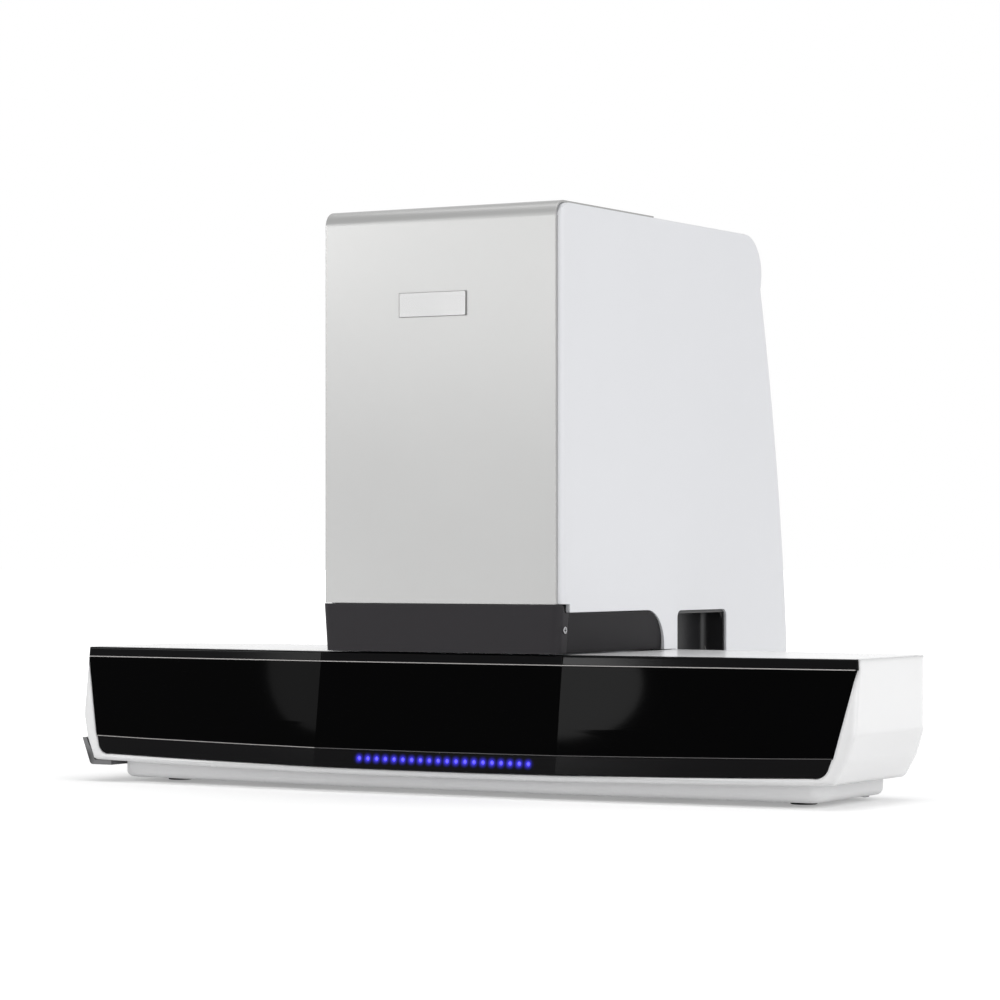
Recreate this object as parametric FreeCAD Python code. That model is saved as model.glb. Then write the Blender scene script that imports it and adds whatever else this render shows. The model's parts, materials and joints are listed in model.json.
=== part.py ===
"""Digital slide scanner: a wide low bar that holds the slide stage, with an optics tower on it.

Millimetres, +X to the right of someone who faces the front, +Y to the back, +Z up.
The origin is under the middle of the whole machine, on the surface that its feet stand on.
Each sub-part is written as one STEP file in the folder parts.
"""
import FreeCAD, Part
import math
import os

V = FreeCAD.Vector

# Whole machine
overall_width = 613.0
overall_depth = 372.0
overall_height = 402.5
foot_height = 3.0
seam = 0.5
fit_gap = 0.3
overrun = 40.0
full_turn = 360.0

# Long bar: heights of its outline, its half widths, and how far its front and rear step in there
bar_half = overall_width / 2
bar_front_y = -overall_depth / 2
bar_top_z = 97.0
bar_mid_z = 48.0
bar_belly_z = 31.5
bar_low_z = 17.0
bar_rim_z = 12.5
bar_belly_taper = 4.8
bar_low_taper = 12.0
bar_rim_taper = 19.0
bar_top_lean = 11.0
bar_rim_tuck = 3.5
bar_belly_rear = 0.6
bar_low_rear = 2.5
bar_rim_rear = 7.0
bar_corner_r = 3.0
bar_rear_corner_r = 22.0
bar_rim_rise = 3.7
bar_wall = 3.0
bar_front_wall = 7.0
wing_sweep = 12.0
centre_half = 96.0
wing_end_depth = 143.0
wing_knee_in = 111.0
wing_knee_depth = 160.0
wing_root_depth = 174.0

# Glass front and its strips
glass_thickness = 3.0
glass_gap = 0.6
glass_top_z = 89.8
glass_low_z = 30.0
glass_end_gap = 1.4
glass_slant = 14.5
glass_corner_r = 9.0
strip_low_z = 17.0
strip_slant = 3.6
seam_rise = 3.6
top_strip_depth = 6.0
top_strip_low_z = 90.4
top_strip_edge_r = 1.6
cover_thickness = 3.0
cover_ledge = 3.0

# Row of indicator lamps
lamp_count = 20
lamp_pitch = 7.05
lamp_radius = 1.4
lamp_hole_gap = 0.15
lamp_row_shift = 8.0
lamp_z = 24.0
lamp_board_depth = 1.6
lamp_board_height = 9.0
lamp_board_margin = 8.0

# Base pan, chassis plate and feet
pan_floor = 3.0
pan_wall = 3.0
pan_inset = 10.0
pan_rear_inset = 3.0
pan_top_z = 19.5
pan_flange = 2.2
pan_corner_r = 9.0
pan_edge_r = 5.0
pan_tower_inset = 6.0
chassis_thickness = 8.0
chassis_gap = 1.5
foot_radius = 9.0
foot_sink = 1.5
foot_wing_in = 56.0
foot_edge = 38.0
foot_tail_edge = 22.0
foot_tower_x = 68.0

# Tower
tower_width = 190.0
tower_setback = 9.0
tower_top_z = 400.7
tower_wall = 3.0
tower_edge_r = 6.0
tower_front_step = 3.0
tower_rear_top_r = 28.0
tower_rear_top_depth = 309.0
tower_rear_mid_depth = 338.0
tower_rear_mid_z = 243.0
tower_rear_low_depth = 363.0
tower_low_z = 8.0
side_flange = 8.0
side_foot_depth = 169.0

# Brushed front sheet
sheet_thickness = 1.8
sheet_half = 91.5
sheet_bend_r = 11.0
sheet_top_depth = 142.0
sheet_low_z = 130.8
sheet_return = 1.2
sheet_underlap = 40.0
badge_left_x = -31.0
badge_width = 53.0
badge_low_z = 327.0
badge_height = 16.5
badge_thickness = 0.8
badge_corner_r = 1.0

# Dark skirt at the foot of the tower
skirt_low_z = 97.6
skirt_top_z = 130.4
skirt_side_top_z = 124.8
skirt_wall = 3.0
skirt_draft = 2.4
skirt_joint_depth = 13.0
skirt_depth = 151.0
skirt_rear_r = 25.0
skirt_screw_r = 2.4
skirt_screw_z = 113.5
skirt_screw_head = 0.6

# Hand grips in the tower sides
grip_front_depth = 172.0
grip_length = 78.0
grip_low_z = 60.0
grip_top_z = 124.3
grip_corner_r = 5.0
grip_reach = 21.0
grip_wall = 2.0
grip_lip = 1.0

# Rear connector plate and what it carries
panel_depth = 334.0
panel_thickness = 2.0
panel_half = 80.0
panel_top_z = 146.0
panel_foot = 14.0
window_half = 74.0
window_low_z = 22.0
window_top_z = 70.0
inlet_x = 44.0
inlet_z = 46.0
inlet_width = 28.0
inlet_height = 22.0
inlet_length = 24.0
inlet_flange = 8.0
inlet_flange_depth = 2.5
inlet_cavity_inset = 2.5
inlet_cavity_depth = 15.0
inlet_pin_r = 1.6
inlet_pin_pitch = 7.0
switch_x = 4.0
switch_width = 14.0
switch_height = 22.0
switch_length = 18.0
switch_rim = 2.0
switch_proud = 2.0
rocker_angle = 12.0
rocker_play = 0.9
rocker_edge_step = 0.6
rocker_root_step = 1.2
rocker_bulge_r = 40.0
rocker_pivot_depth = 6.0
rocker_pin_r = 1.6
socket_x = -38.0
socket_width = 13.0
socket_height = 11.5
socket_length = 16.0
socket_wall = 1.0
socket_tongue = 2.0
fan_size = 60.0
fan_depth = 15.0
fan_z = 108.0
fan_bore_r = 27.0
fan_tip_gap = 1.2
fan_hub_r = 11.0
fan_motor_r = 10.0
fan_blade_count = 7
fan_blade_thickness = 1.2
fan_blade_twist = 32.0
fan_spoke = 3.0
fan_spoke_count = 4
fan_axle_r = 1.25
fan_screw_pitch = 50.0
vent_slot_height = 3.0
vent_slot_pitch = 8.0
vent_slot_half = 62.0
vent_slot_r = 1.45
vent_low_count = 8
vent_low_z = 80.0
vent_high_count = 10
vent_high_z = 250.0
screw_r = 3.0
screw_head = 1.5
screw_shank_r = 1.5
screw_shank_gap = 0.03
screw_length = 8.0

# Stage: rails, carriage and belt drive
stage_setback = 64.0
rail_width = 10.0
rail_height = 8.0
rail_offset = 28.5
rail_left_in = 38.0
rail_right_in = 130.0
block_width = 16.0
block_length = 30.0
block_wrap = 5.0
block_top = 16.0
block_gap = 0.3
carriage_length = 140.0
carriage_bar = 8.0
carriage_bar_width = 12.0
carriage_post_x = 14.0
carriage_cross = 5.5
belt_offset = -14.0
belt_width = 6.0
belt_thickness = 1.2
belt_gap = 0.1
pulley_r = 6.5
pulley_z = 30.0
pulley_flange = 1.2
pulley_flange_r = 8.4
pulley_left_in = 44.0
pulley_right_in = 116.0
pulley_bore_r = 2.5
pulley_play = 0.4
clamp_thickness = 3.0
clamp_gap = 0.4
clamp_length = 24.0
shaft_gap = 0.05
motor_size = 28.0
motor_length = 34.0
motor_plate = 3.0
motor_boss_r = 8.0
motor_boss_depth = 1.0
motor_edge_r = 3.0
motor_step = 3.6

# Slide tray and slides
slide_count = 6
slide_length = 76.0
slide_width = 26.0
slide_thickness = 1.0
pocket_depth = 3.0
slide_pitch = 29.0
slide_gap = 0.25
slide_ledge = 4.0
tray_length = 192.0
tray_depth = 84.0
tray_thickness = 8.0
tray_left_margin = 12.0
tray_end_gap = 14.0
tray_corner_r = 3.0
tray_low_z = 64.0
tray_tab_depth = 26.0
tray_tab_length = 8.0
tray_tab_thickness = 3.0
tray_tab_overlap = 10.0
spring_width = 8.0
spring_thickness = 0.5
spring_reach = 6.0

# Drawer at the left end
drawer_front_half = 46.0
drawer_low_z = 21.0
drawer_top_z = 88.5
drawer_gap = 0.5
drawer_wall = 4.0
drawer_rail_width = 3.5
drawer_rail_offset = 41.8
drawer_rail_low_z = 46.0
drawer_rail_height = 12.0
drawer_rail_length = 236.0
guide_web = 2.6
guide_lip = 2.6
guide_left_in = 44.0
guide_length = 206.0
pull_thickness = 3.4
pull_under = 15.0
pull_gap = 0.2
pull_front_step = 2.0

# Light source under the slides
lamp_house_half_x = 22.0
lamp_house_half_y = 20.0
lamp_house_low_z = 44.0
lamp_house_height = 10.0
lamp_house_wall = 2.5
lamp_house_leg = 3.5
lamp_house_foot = 10.5
diffuser_thickness = 2.0
diffuser_gap = 0.1

# Optics frame and head
frame_half = 66.0
frame_plate = 6.0
frame_column_depth = 124.0
frame_arm_front_depth = 10.0
frame_arm_top_r = 4.0
frame_rear_depth = 236.0
frame_arm_low_z = 86.0
frame_arm_r = 20.0
bridge_z = 152.0
bridge_thickness = 8.0
bridge_window_gap = 5.0
head_travel = 18.0
head_rail_offset = 48.0
head_rail_front_step = 2.0
head_rail_length = 164.0
head_block_step = 15.0
head_plate_half = 58.0
head_plate_front = 35.0
head_plate_rear = 66.0
head_plate_thickness = 8.0
head_screw_x = 34.0
head_screw_r = 3.0
head_screw_z = 12.0
head_motor_depth = 196.0
nut_width = 12.0
nut_length = 16.0
column_setback = 41.0
rod_r = 4.0
rod_offset = 24.0
rod_length = 144.0
focus_screw_r = 3.5
screw_end_gap = 0.2
top_plate_thickness = 6.0
column_plate_half = 34.0
column_back = 12.0
column_back_thickness = 6.0
focus_block_low_z = 232.0
focus_block_height = 44.0
focus_block_half_y = 9.0
tube_r = 19.0
tube_low_z = 122.0
tube_high_z = 300.0
tube_nose_r = 13.0
tube_nose_length = 20.0
tube_rim = 1.0
tube_ring_wall = 5.0
objective_low_z = 77.0
objective_r = 12.0
objective_tip_r = 4.0
objective_cone = 12.0
objective_grip = 14.0
objective_lens_r = 2.5
camera_size = 44.0
camera_height = 50.0
camera_edge_r = 3.0
camera_fin_count = 5
camera_fin_depth = 1.5
camera_fin_share = 1 / 3

# Electronics
supply_width = 60.0
supply_depth = 66.0
supply_height = 42.0
supply_x = -44.0
supply_front_depth = 248.0
board_length = 60.0
board_depth = 74.0
board_thickness = 1.6
board_stand = 6.0
board_right_in = 99.0
board_front_depth = 26.0
chip_size = 14.0
chip_height = 2.4
chip_places = ((1, 1), (3, 1), (2, 3))

# Worked out from the sizes above
tower_front_y = bar_front_y + tower_setback
tower_half = tower_width / 2
wing_knee_x = bar_half - wing_knee_in
glass_top_half = bar_half - glass_end_gap
foot_wing_x = bar_half - foot_wing_in
rail_left_x = rail_left_in - bar_half
rail_right_x = bar_half - rail_right_in
pulley_left_x = pulley_left_in - bar_half
pulley_right_x = bar_half - pulley_right_in
tray_left_x = tray_end_gap - bar_half
guide_left_x = guide_left_in - bar_half
guide_right_x = guide_left_x + guide_length
board_left_x = bar_half - board_right_in
pan_low_z = foot_height
chassis_low_z = pan_low_z + pan_floor
chassis_top_z = chassis_low_z + chassis_thickness
stage_y = tower_front_y + stage_setback
rail_top_z = chassis_top_z + rail_height
carriage_low_z = chassis_top_z + block_top
carriage_top_z = carriage_low_z + carriage_bar
tray_mid_x = tray_left_x + tray_length / 2
bridge_top_z = bridge_z + bridge_thickness
head_low_z = bridge_top_z + block_top
head_top_z = head_low_z + head_plate_thickness
rod_top_z = head_top_z + rod_length
column_y = stage_y + column_setback
panel_y = tower_front_y + panel_depth
diagonal_share = math.sqrt(1 / 2)


def box(x0, x1, y0, y1, z0, z1):
    """Block between two corners."""
    return Part.makeBox(x1 - x0, y1 - y0, z1 - z0, V(x0, y0, z0))


def between_x(x0, x1):
    """Everything between two places along the bar."""
    return box(x0, x1, -overall_depth, overall_depth, 0, overall_height)


def ahead_of(y):
    """Everything in front of a depth."""
    return box(-overall_width, overall_width, -overall_depth, y, 0, overall_height)


def centred(x, z, half_x, half_z, y0, y1):
    """Block round a centre in X and Z, from y0 to y1."""
    return box(x - half_x, x + half_x, y0, y1, z - half_z, z + half_z)


def mirror_x(shape):
    """The same shape on the other side of the middle plane."""
    return shape.mirror(V(0, 0, 0), V(1, 0, 0))


def join(shapes):
    """One solid made of touching shapes."""
    whole = shapes[0].fuse(shapes[1:]) if len(shapes) > 1 else shapes[0]
    return whole.removeSplitter()


def rounded_wire(points, radii):
    """Closed outline through points, with a tangent arc where the radius is not zero."""
    count = len(points)
    starts = []
    ends = []
    middles = []
    for i in range(count):
        before = points[i - 1] - points[i]
        after = points[(i + 1) % count] - points[i]
        before.normalize()
        after.normalize()
        if radii[i] > 0:
            half_angle = before.getAngle(after) / 2
            reach = radii[i] / math.tan(half_angle)
            starts.append(points[i] + before * reach)
            ends.append(points[i] + after * reach)
            inward = before + after
            inward.normalize()
            middles.append(points[i] + inward * (radii[i] / math.sin(half_angle) - radii[i]))
        else:
            starts.append(points[i])
            ends.append(points[i])
            middles.append(None)
    edges = []
    for i in range(count):
        if middles[i] is not None:
            edges.append(Part.Arc(starts[i], middles[i], ends[i]).toShape())
        following = starts[(i + 1) % count]
        if ends[i].distanceToPoint(following) > seam / overall_width:
            edges.append(Part.makeLine(ends[i], following))
    return Part.Wire(edges)


def prism(points, radii, along):
    """Solid of a flat rounded outline pushed along a vector."""
    return Part.Face(rounded_wire(points, radii)).extrude(along)


def prism_xz(pairs, y0, y1, radii=None):
    """Solid of an outline in X and Z, from y0 to y1."""
    points = [V(x, y0, z) for x, z in pairs]
    return prism(points, radii or [0] * len(points), V(0, y1 - y0, 0))


def prism_yz(pairs, x0, x1, radii=None):
    """Solid of an outline in Y and Z, from x0 to x1."""
    points = [V(x0, y, z) for y, z in pairs]
    return prism(points, radii or [0] * len(points), V(x1 - x0, 0, 0))


def rounded_box(x0, x1, y0, y1, z0, z1, radius):
    """Block with its four upright edges rounded."""
    points = [V(x0, y0, z0), V(x1, y0, z0), V(x1, y1, z0), V(x0, y1, z0)]
    return prism(points, [radius] * len(points), V(0, 0, z1 - z0))


def rounded_panel(x0, x1, z0, z1, y0, y1, radius):
    """Upright plate, seen from the front as a rectangle with round corners."""
    pairs = [(x0, z0), (x1, z0), (x1, z1), (x0, z1)]
    return prism_xz(pairs, y0, y1, [radius] * len(pairs))


def rod(x, y, z, radius, length, axis):
    """Round bar from one end centre along an axis."""
    return Part.makeCylinder(radius, length, V(x, y, z), axis)


AXIS_X = V(1, 0, 0)
AXIS_Y = V(0, 1, 0)
AXIS_Z = V(0, 0, 1)


def save(name, shape):
    """Write one sub-part."""
    shape.exportStep("parts/" + name + ".step")


# Bar


def bar_wire(z, half, front_y, rear_in):
    """Plan outline of the bar at one height."""
    shift = bar_half - half
    pairs = [
        (-half, front_y + wing_sweep, bar_corner_r),
        (-centre_half, front_y, 0),
        (centre_half, front_y, 0),
        (half, front_y + wing_sweep, bar_corner_r),
        (half, bar_front_y + wing_end_depth - rear_in, bar_rear_corner_r),
        (wing_knee_x - shift, bar_front_y + wing_knee_depth - rear_in, 0),
        (tower_half, bar_front_y + wing_root_depth - rear_in, 0),
        (-tower_half, bar_front_y + wing_root_depth - rear_in, 0),
        (shift - wing_knee_x, bar_front_y + wing_knee_depth - rear_in, 0),
        (-half, bar_front_y + wing_end_depth - rear_in, bar_rear_corner_r),
    ]
    return rounded_wire([V(x, y, z) for x, y, r in pairs], [r for x, y, r in pairs])


def face_y(z):
    """Front plane of the bar's middle at a height, over its flat leaning part."""
    return bar_front_y + bar_top_lean * (z - bar_low_z) / (bar_top_z - bar_low_z)


def bar_form(side_in, front_in, low_z, top_z):
    """Outer form of the bar, or an inner form that is smaller by its walls."""
    rim_front = bar_front_y + bar_rim_tuck
    levels = [
        (low_z, bar_rim_taper, rim_front, bar_rim_rear),
        (bar_low_z, bar_low_taper, bar_front_y, bar_low_rear),
        (bar_belly_z, bar_belly_taper, face_y(bar_belly_z), bar_belly_rear),
        (bar_mid_z, 0, face_y(bar_mid_z), 0),
        (top_z, 0, face_y(bar_top_z), 0),
    ]
    wires = []
    for z, taper, front, rear in levels:
        wires.append(bar_wire(z, bar_half - taper - side_in, front + front_in, rear + side_in))
    return Part.makeLoft(wires, True, True)


def smile(low_z, rise, half):
    """Solid above a line that is low in the middle and rises to both ends."""
    left = V(-half, bar_front_y - overrun, low_z + rise)
    right = V(half, bar_front_y - overrun, low_z + rise)
    arc = Part.Arc(left, V(0, bar_front_y - overrun, low_z), right).toShape()
    up = V(0, 0, bar_top_z)
    edges = [arc, Part.makeLine(right, right + up), Part.makeLine(right + up, left + up)]
    edges.append(Part.makeLine(left + up, left))
    return Part.Face(Part.Wire(edges)).extrude(V(0, overall_depth, 0))


def rim_height(x):
    """Height of the shell's lower rim at a place along the bar."""
    return bar_rim_z + bar_rim_rise * (x / bar_half) ** 2


def glass_zone(low_z, high_z, rise_low, rise_high, gap):
    """Space of one glass strip as seen from the front, with slanting ends."""
    slope = glass_slant / (glass_top_z - glass_low_z)
    top_half = glass_top_half + (high_z - glass_top_z) * slope + gap
    low_half = glass_top_half + (low_z - glass_top_z) * slope + gap
    pairs = [(-low_half, low_z), (low_half, low_z), (top_half, high_z), (-top_half, high_z)]
    tall = [(x, z - rise_low * (z < high_z) + rise_high * (z > low_z)) for x, z in pairs]
    zone = prism_xz(tall, bar_front_y - overrun, bar_front_y + overrun)
    zone = zone.common(smile(low_z - gap, rise_low, bar_half))
    if rise_high > 0:
        zone = zone.cut(smile(high_z + gap, rise_high, bar_half))
    return zone


def strip_zone(gap):
    """Space of the lamp strip: slanting ends with large round lower corners."""
    high_z = glass_low_z - glass_gap
    slope = glass_slant / (glass_top_z - glass_low_z)
    top_half = glass_top_half + (high_z + seam_rise - glass_top_z) * slope + gap
    low_half = top_half - strip_slant - gap
    low_z = strip_low_z - gap
    y0 = bar_front_y - overrun
    left = V(-low_half, y0, low_z + seam_rise)
    right = V(low_half, y0, low_z + seam_rise)
    top_right = V(top_half, y0, high_z + seam_rise)
    top_left = V(-top_half, y0, high_z + seam_rise)
    bend = glass_corner_r
    low_left = left + V(bend, 0, 0)
    low_right = right - V(bend, 0, 0)
    knee_right = right + (top_right - right) * (bend / (high_z - low_z + bend))
    knee_left = left + (top_left - left) * (bend / (high_z - low_z + bend))
    chord_right = (low_right + knee_right) * (1 / 2)
    chord_left = (low_left + knee_left) * (1 / 2)
    turn_right = (chord_right + right) * (1 / 2)
    turn_left = (chord_left + left) * (1 / 2)
    edges = [
        Part.Arc(low_left, V(0, y0, low_z), low_right).toShape(),
        Part.Arc(low_right, turn_right, knee_right).toShape(),
        Part.makeLine(knee_right, top_right),
        Part.Arc(top_right, V(0, y0, high_z + gap), top_left).toShape(),
        Part.makeLine(top_left, knee_left),
        Part.Arc(knee_left, turn_left, low_left).toShape(),
    ]
    return Part.Face(Part.Wire(edges)).extrude(V(0, overrun * 2, 0))


def front_slab(depth):
    """The outermost layer of the bar's front."""
    outer = bar_form(0, 0, bar_rim_z, bar_top_z)
    inner = outer.copy()
    inner.translate(V(0, depth, 0))
    keep = box(-overall_width, overall_width, bar_front_y - overrun, stage_y, 0, overall_height)
    return outer.cut(inner).common(keep)


def strip_mitre(gap):
    """Space behind a slanting cut at both ends of the top strip."""
    corner_y = face_y(bar_top_z) + wing_sweep + gap
    points = [
        V(bar_half - overrun, corner_y + overrun, 0),
        V(bar_half + overrun, corner_y - overrun, 0),
        V(bar_half + overrun, corner_y + overrun, 0),
    ]
    wedge = prism(points, [0, 0, 0], V(0, 0, overall_height))
    return wedge.fuse(mirror_x(wedge))


def lamp_places():
    """X of each indicator lamp."""
    first = lamp_row_shift - lamp_pitch * (lamp_count - 1) / 2
    return [first + lamp_pitch * i for i in range(lamp_count)]


def lamp_holes(radius):
    """Round bars through the front at each lamp."""
    y0 = bar_front_y - overrun
    return [rod(x, y0, lamp_z, radius, overrun * 2, AXIS_Y) for x in lamp_places()]


def drawer_zone(gap):
    """Space of the drawer front in the left end wall."""
    half = drawer_front_half + gap
    x1 = tray_left_x - drawer_gap
    return box(-overall_width, x1, stage_y - half, stage_y + half, drawer_low_z - gap, drawer_top_z + gap)


def make_bar():
    """White bar shell, its covers, the glass front and the indicator lamps."""
    cover_low_z = bar_top_z - cover_thickness
    outer = bar_form(0, 0, bar_rim_z, bar_top_z)
    inner = bar_form(bar_wall, bar_front_wall, bar_rim_z - overrun / 2, bar_top_z + overrun / 2)
    ledge_in = bar_form(bar_wall + cover_ledge, bar_front_wall + cover_ledge,
                        bar_rim_z - overrun / 2, bar_top_z + overrun / 2)
    ledge = inner.cut(ledge_in)
    ledge = ledge.common(box(-overall_width, overall_width, -overall_depth, overall_depth,
                             cover_low_z - cover_ledge, cover_low_z))
    inside = tower_half + seam
    ledge = ledge.cut(between_x(-inside, inside))
    shell = outer.cut(inner).fuse(ledge)
    shell = shell.common(smile(bar_rim_z, bar_rim_rise, bar_half))
    root_y = bar_front_y + wing_root_depth
    shell = shell.cut(box(-tower_half, tower_half, stage_y, root_y + overrun, 0, bar_top_z))
    layer = front_slab(glass_thickness + glass_gap)
    zones = [
        glass_zone(glass_low_z, glass_top_z, seam_rise, 0, glass_gap),
        strip_zone(glass_gap),
    ]
    for zone in zones:
        shell = shell.cut(layer.common(zone))
    top_zone = box(-overall_width, overall_width, bar_front_y - overrun, bar_front_y + overrun,
                   top_strip_low_z - glass_gap, bar_top_z)
    top_zone = top_zone.cut(strip_mitre(seam))
    shell = shell.cut(front_slab(top_strip_depth + seam).common(top_zone))
    shell = shell.cut(drawer_zone(drawer_gap))
    shell = shell.cut(lamp_holes(lamp_radius + lamp_hole_gap))
    save("base_shell", shell)

    glass = front_slab(glass_thickness).common(glass_zone(glass_low_z, glass_top_z, seam_rise, 0, 0))
    save("front_glass", glass)
    strip = front_slab(glass_thickness).common(strip_zone(0))
    strip = strip.cut(lamp_holes(lamp_radius + lamp_hole_gap))
    save("lamp_strip", strip)

    bar_layer = front_slab(top_strip_depth).cut(strip_mitre(0))
    reach = bar_half
    spans = [
        ("top_strip_left", -reach, -centre_half - seam / 2),
        ("top_strip_centre", -centre_half + seam / 2, centre_half - seam / 2),
        ("top_strip_right", centre_half + seam / 2, reach),
    ]
    for name, x0, x1 in spans:
        piece = bar_layer.common(box(x0, x1, -overall_depth, stage_y, top_strip_low_z, bar_top_z))
        edge = [e for e in piece.Edges if is_top_front(e)]
        save(name, piece.makeFillet(top_strip_edge_r, edge))

    covers = bar_form(bar_wall + seam, bar_front_wall + seam, bar_rim_z, bar_top_z)
    covers = covers.common(box(-overall_width, overall_width, -overall_depth, overall_depth,
                               cover_low_z, bar_top_z))
    right = covers.common(between_x(inside, overall_width))
    save("wing_cover_right", right)
    save("wing_cover_left", mirror_x(right))

    first, last = lamp_places()[0], lamp_places()[-1]
    board_y = face_y(lamp_z + lamp_board_height / 2) + bar_front_wall + fit_gap
    board = box(first - lamp_board_margin, last + lamp_board_margin, board_y, board_y + lamp_board_depth,
                lamp_z - lamp_board_height / 2, lamp_z + lamp_board_height / 2)
    save("lamp_board", board)
    lamps = []
    for x in lamp_places():
        start = face_y(lamp_z) + lamp_hole_gap
        body = rod(x, start, lamp_z, lamp_radius, board_y - start, AXIS_Y)
        rim = [e for e in body.Edges if e.BoundBox.YMax < start + lamp_hole_gap]
        lamps.append(body.makeFillet(lamp_radius / 2, rim))
    save("indicator_lamps", Part.makeCompound(lamps))


def is_top_front(edge):
    """True for the long top edges at the front of a top strip."""
    bounds = edge.BoundBox
    if bounds.ZLength > seam or bounds.ZMin < bar_top_z - seam:
        return False
    middle = edge.valueAt((edge.FirstParameter + edge.LastParameter) / 2)
    sweep = max(0, abs(middle.x) - centre_half) / (bar_half - centre_half) * wing_sweep
    return bounds.XLength > top_strip_depth and middle.y < face_y(bar_top_z) + sweep + seam


# Base pan, chassis plate and feet


def pan_wire(z, inset):
    """Plan outline of the pan: the bar's middle part with the tower's foot behind it."""
    half = bar_half - bar_rim_taper - inset
    front = bar_front_y + bar_rim_tuck + inset
    rear_in = bar_rim_rear + pan_rear_inset - pan_inset + inset
    rear = bar_front_y + wing_end_depth - rear_in
    root = bar_front_y + wing_root_depth - rear_in
    tower_side = tower_half - inset + pan_inset - pan_tower_inset
    tower_rear = tower_front_y + tower_rear_low_depth - inset + pan_inset - pan_tower_inset
    pairs = [
        (-half, front + wing_sweep, pan_corner_r),
        (-centre_half, front, 0),
        (centre_half, front, 0),
        (half, front + wing_sweep, pan_corner_r),
        (half, rear, pan_corner_r),
        (tower_side, root, 0),
        (tower_side, tower_rear, pan_corner_r),
        (-tower_side, tower_rear, pan_corner_r),
        (-tower_side, root, 0),
        (-half, rear, pan_corner_r),
    ]
    return rounded_wire([V(x, y, z) for x, y, r in pairs], [r for x, y, r in pairs])


def pan_block(z0, z1, inset):
    """Solid of the pan's outline between two heights."""
    return Part.Face(pan_wire(z0, inset)).extrude(V(0, 0, z1 - z0))


def pan_ledge():
    """Ledge round the top of the pan that carries the bar shell and the tower covers."""
    low_z = pan_top_z - pan_flange
    inner = bar_form(bar_wall + fit_gap / 2, bar_front_wall + fit_gap / 2, bar_rim_z - overrun / 2, bar_top_z)
    whole = box(-overall_width, overall_width, -overall_depth, overall_depth, low_z, pan_top_z)
    wing_part = inner.common(whole)
    side = tower_half - tower_wall - fit_gap / 2
    rear = tower_front_y + tower_rear_low_depth - tower_wall - pan_flange
    tower_part = box(-side, side, stage_y, rear, low_z, pan_top_z)
    ledge = wing_part.fuse(tower_part)
    return ledge.cut(pan_block(low_z, pan_top_z, pan_inset + pan_wall / 2))


def foot_places():
    """Plan position of each foot."""
    front = bar_front_y + wing_sweep + pan_inset + foot_edge
    tail = tower_front_y + tower_rear_low_depth - pan_tower_inset - foot_tail_edge
    places = []
    for side in (-1, 1):
        places.append((side * foot_wing_x, front))
        places.append((side * foot_tower_x, tail))
    return places


def make_base():
    """Pan, chassis plate and rubber feet."""
    floor_top = pan_low_z + pan_floor
    pan = pan_block(pan_low_z, pan_top_z, pan_inset)
    low_edges = [e for e in pan.Edges if e.BoundBox.ZMax < pan_low_z + seam]
    pan = pan.makeFillet(pan_edge_r, low_edges)
    pan = pan.cut(pan_block(floor_top, pan_top_z + overrun, pan_inset + pan_wall))
    pan = join([pan, pan_ledge()])
    for x, y in foot_places():
        pan = pan.cut(rod(x, y, 0, foot_radius, pan_low_z + foot_sink, AXIS_Z))
    save("base_pan", pan)
    feet = []
    for x, y in foot_places():
        foot = rod(x, y, 0, foot_radius, pan_low_z + foot_sink, AXIS_Z)
        low = [e for e in foot.Edges if e.BoundBox.ZMax < foot_sink / 2]
        feet.append(foot.makeFillet(foot_sink / 2, low))
    save("rubber_feet", Part.makeCompound(feet))
    inset = pan_inset + pan_wall + chassis_gap
    chassis = pan_block(chassis_low_z, chassis_top_z, inset)
    save("chassis_plate", chassis)


# Tower


def tower_form(inset):
    """Body of the tower's covers, or a smaller one inside them."""
    front = tower_front_y + tower_front_step + inset
    top = tower_top_z - inset
    low = tower_low_z - (overrun if inset else 0)
    half = tower_half - inset
    rear_low = tower_front_y + tower_rear_low_depth - inset
    rear_mid = V(-half, tower_front_y + tower_rear_mid_depth - inset, tower_rear_mid_z)
    rear_top = tower_front_y + tower_rear_top_depth - inset
    bend = tower_rear_top_r - inset
    start = V(-half, rear_low, low)
    high = V(-half, rear_top, top - bend)
    roof = V(-half, rear_top - bend, top)
    rest = bend - bend * diagonal_share
    round_mid = V(-half, rear_top - rest, top - rest)
    corner = V(-half, front, top)
    floor = V(-half, front, low)
    edges = [
        Part.Arc(start, rear_mid, high).toShape(),
        Part.Arc(high, round_mid, roof).toShape(),
        Part.makeLine(roof, corner),
        Part.makeLine(corner, floor),
        Part.makeLine(floor, start),
    ]
    solid = Part.Face(Part.Wire(edges)).extrude(V(half * 2, 0, 0))
    if inset:
        return solid
    upright = [e for e in solid.Edges if e.BoundBox.XLength < seam and e.BoundBox.ZLength > tower_half]
    return solid.makeFillet(tower_edge_r, upright)


def skirt_form(inset):
    """Tapered body of the dark skirt, or a smaller one inside it."""
    wires = []
    for z, draft in ((skirt_low_z, skirt_draft), (skirt_top_z, 0)):
        half = tower_half - draft - inset
        front = tower_front_y + inset
        rear = tower_front_y + skirt_depth + (overrun if inset else 0)
        points = [V(-half, front, z), V(half, front, z), V(half, rear, z), V(-half, rear, z)]
        bend = tower_edge_r - inset
        wires.append(rounded_wire(points, [bend, bend, 0, 0]))
    return Part.makeLoft(wires, True, True)


def skirt_side_zone(gap):
    """Space of a skirt side as seen from the side, with its round upper rear corner."""
    y0 = tower_front_y - overrun
    y1 = tower_front_y + skirt_depth + gap
    top = skirt_side_top_z + gap
    pairs = [(y0, 0), (y1, 0), (y1, top), (y0, top)]
    return prism_yz(pairs, -overall_width, overall_width, [0, 0, skirt_rear_r, 0])


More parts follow.
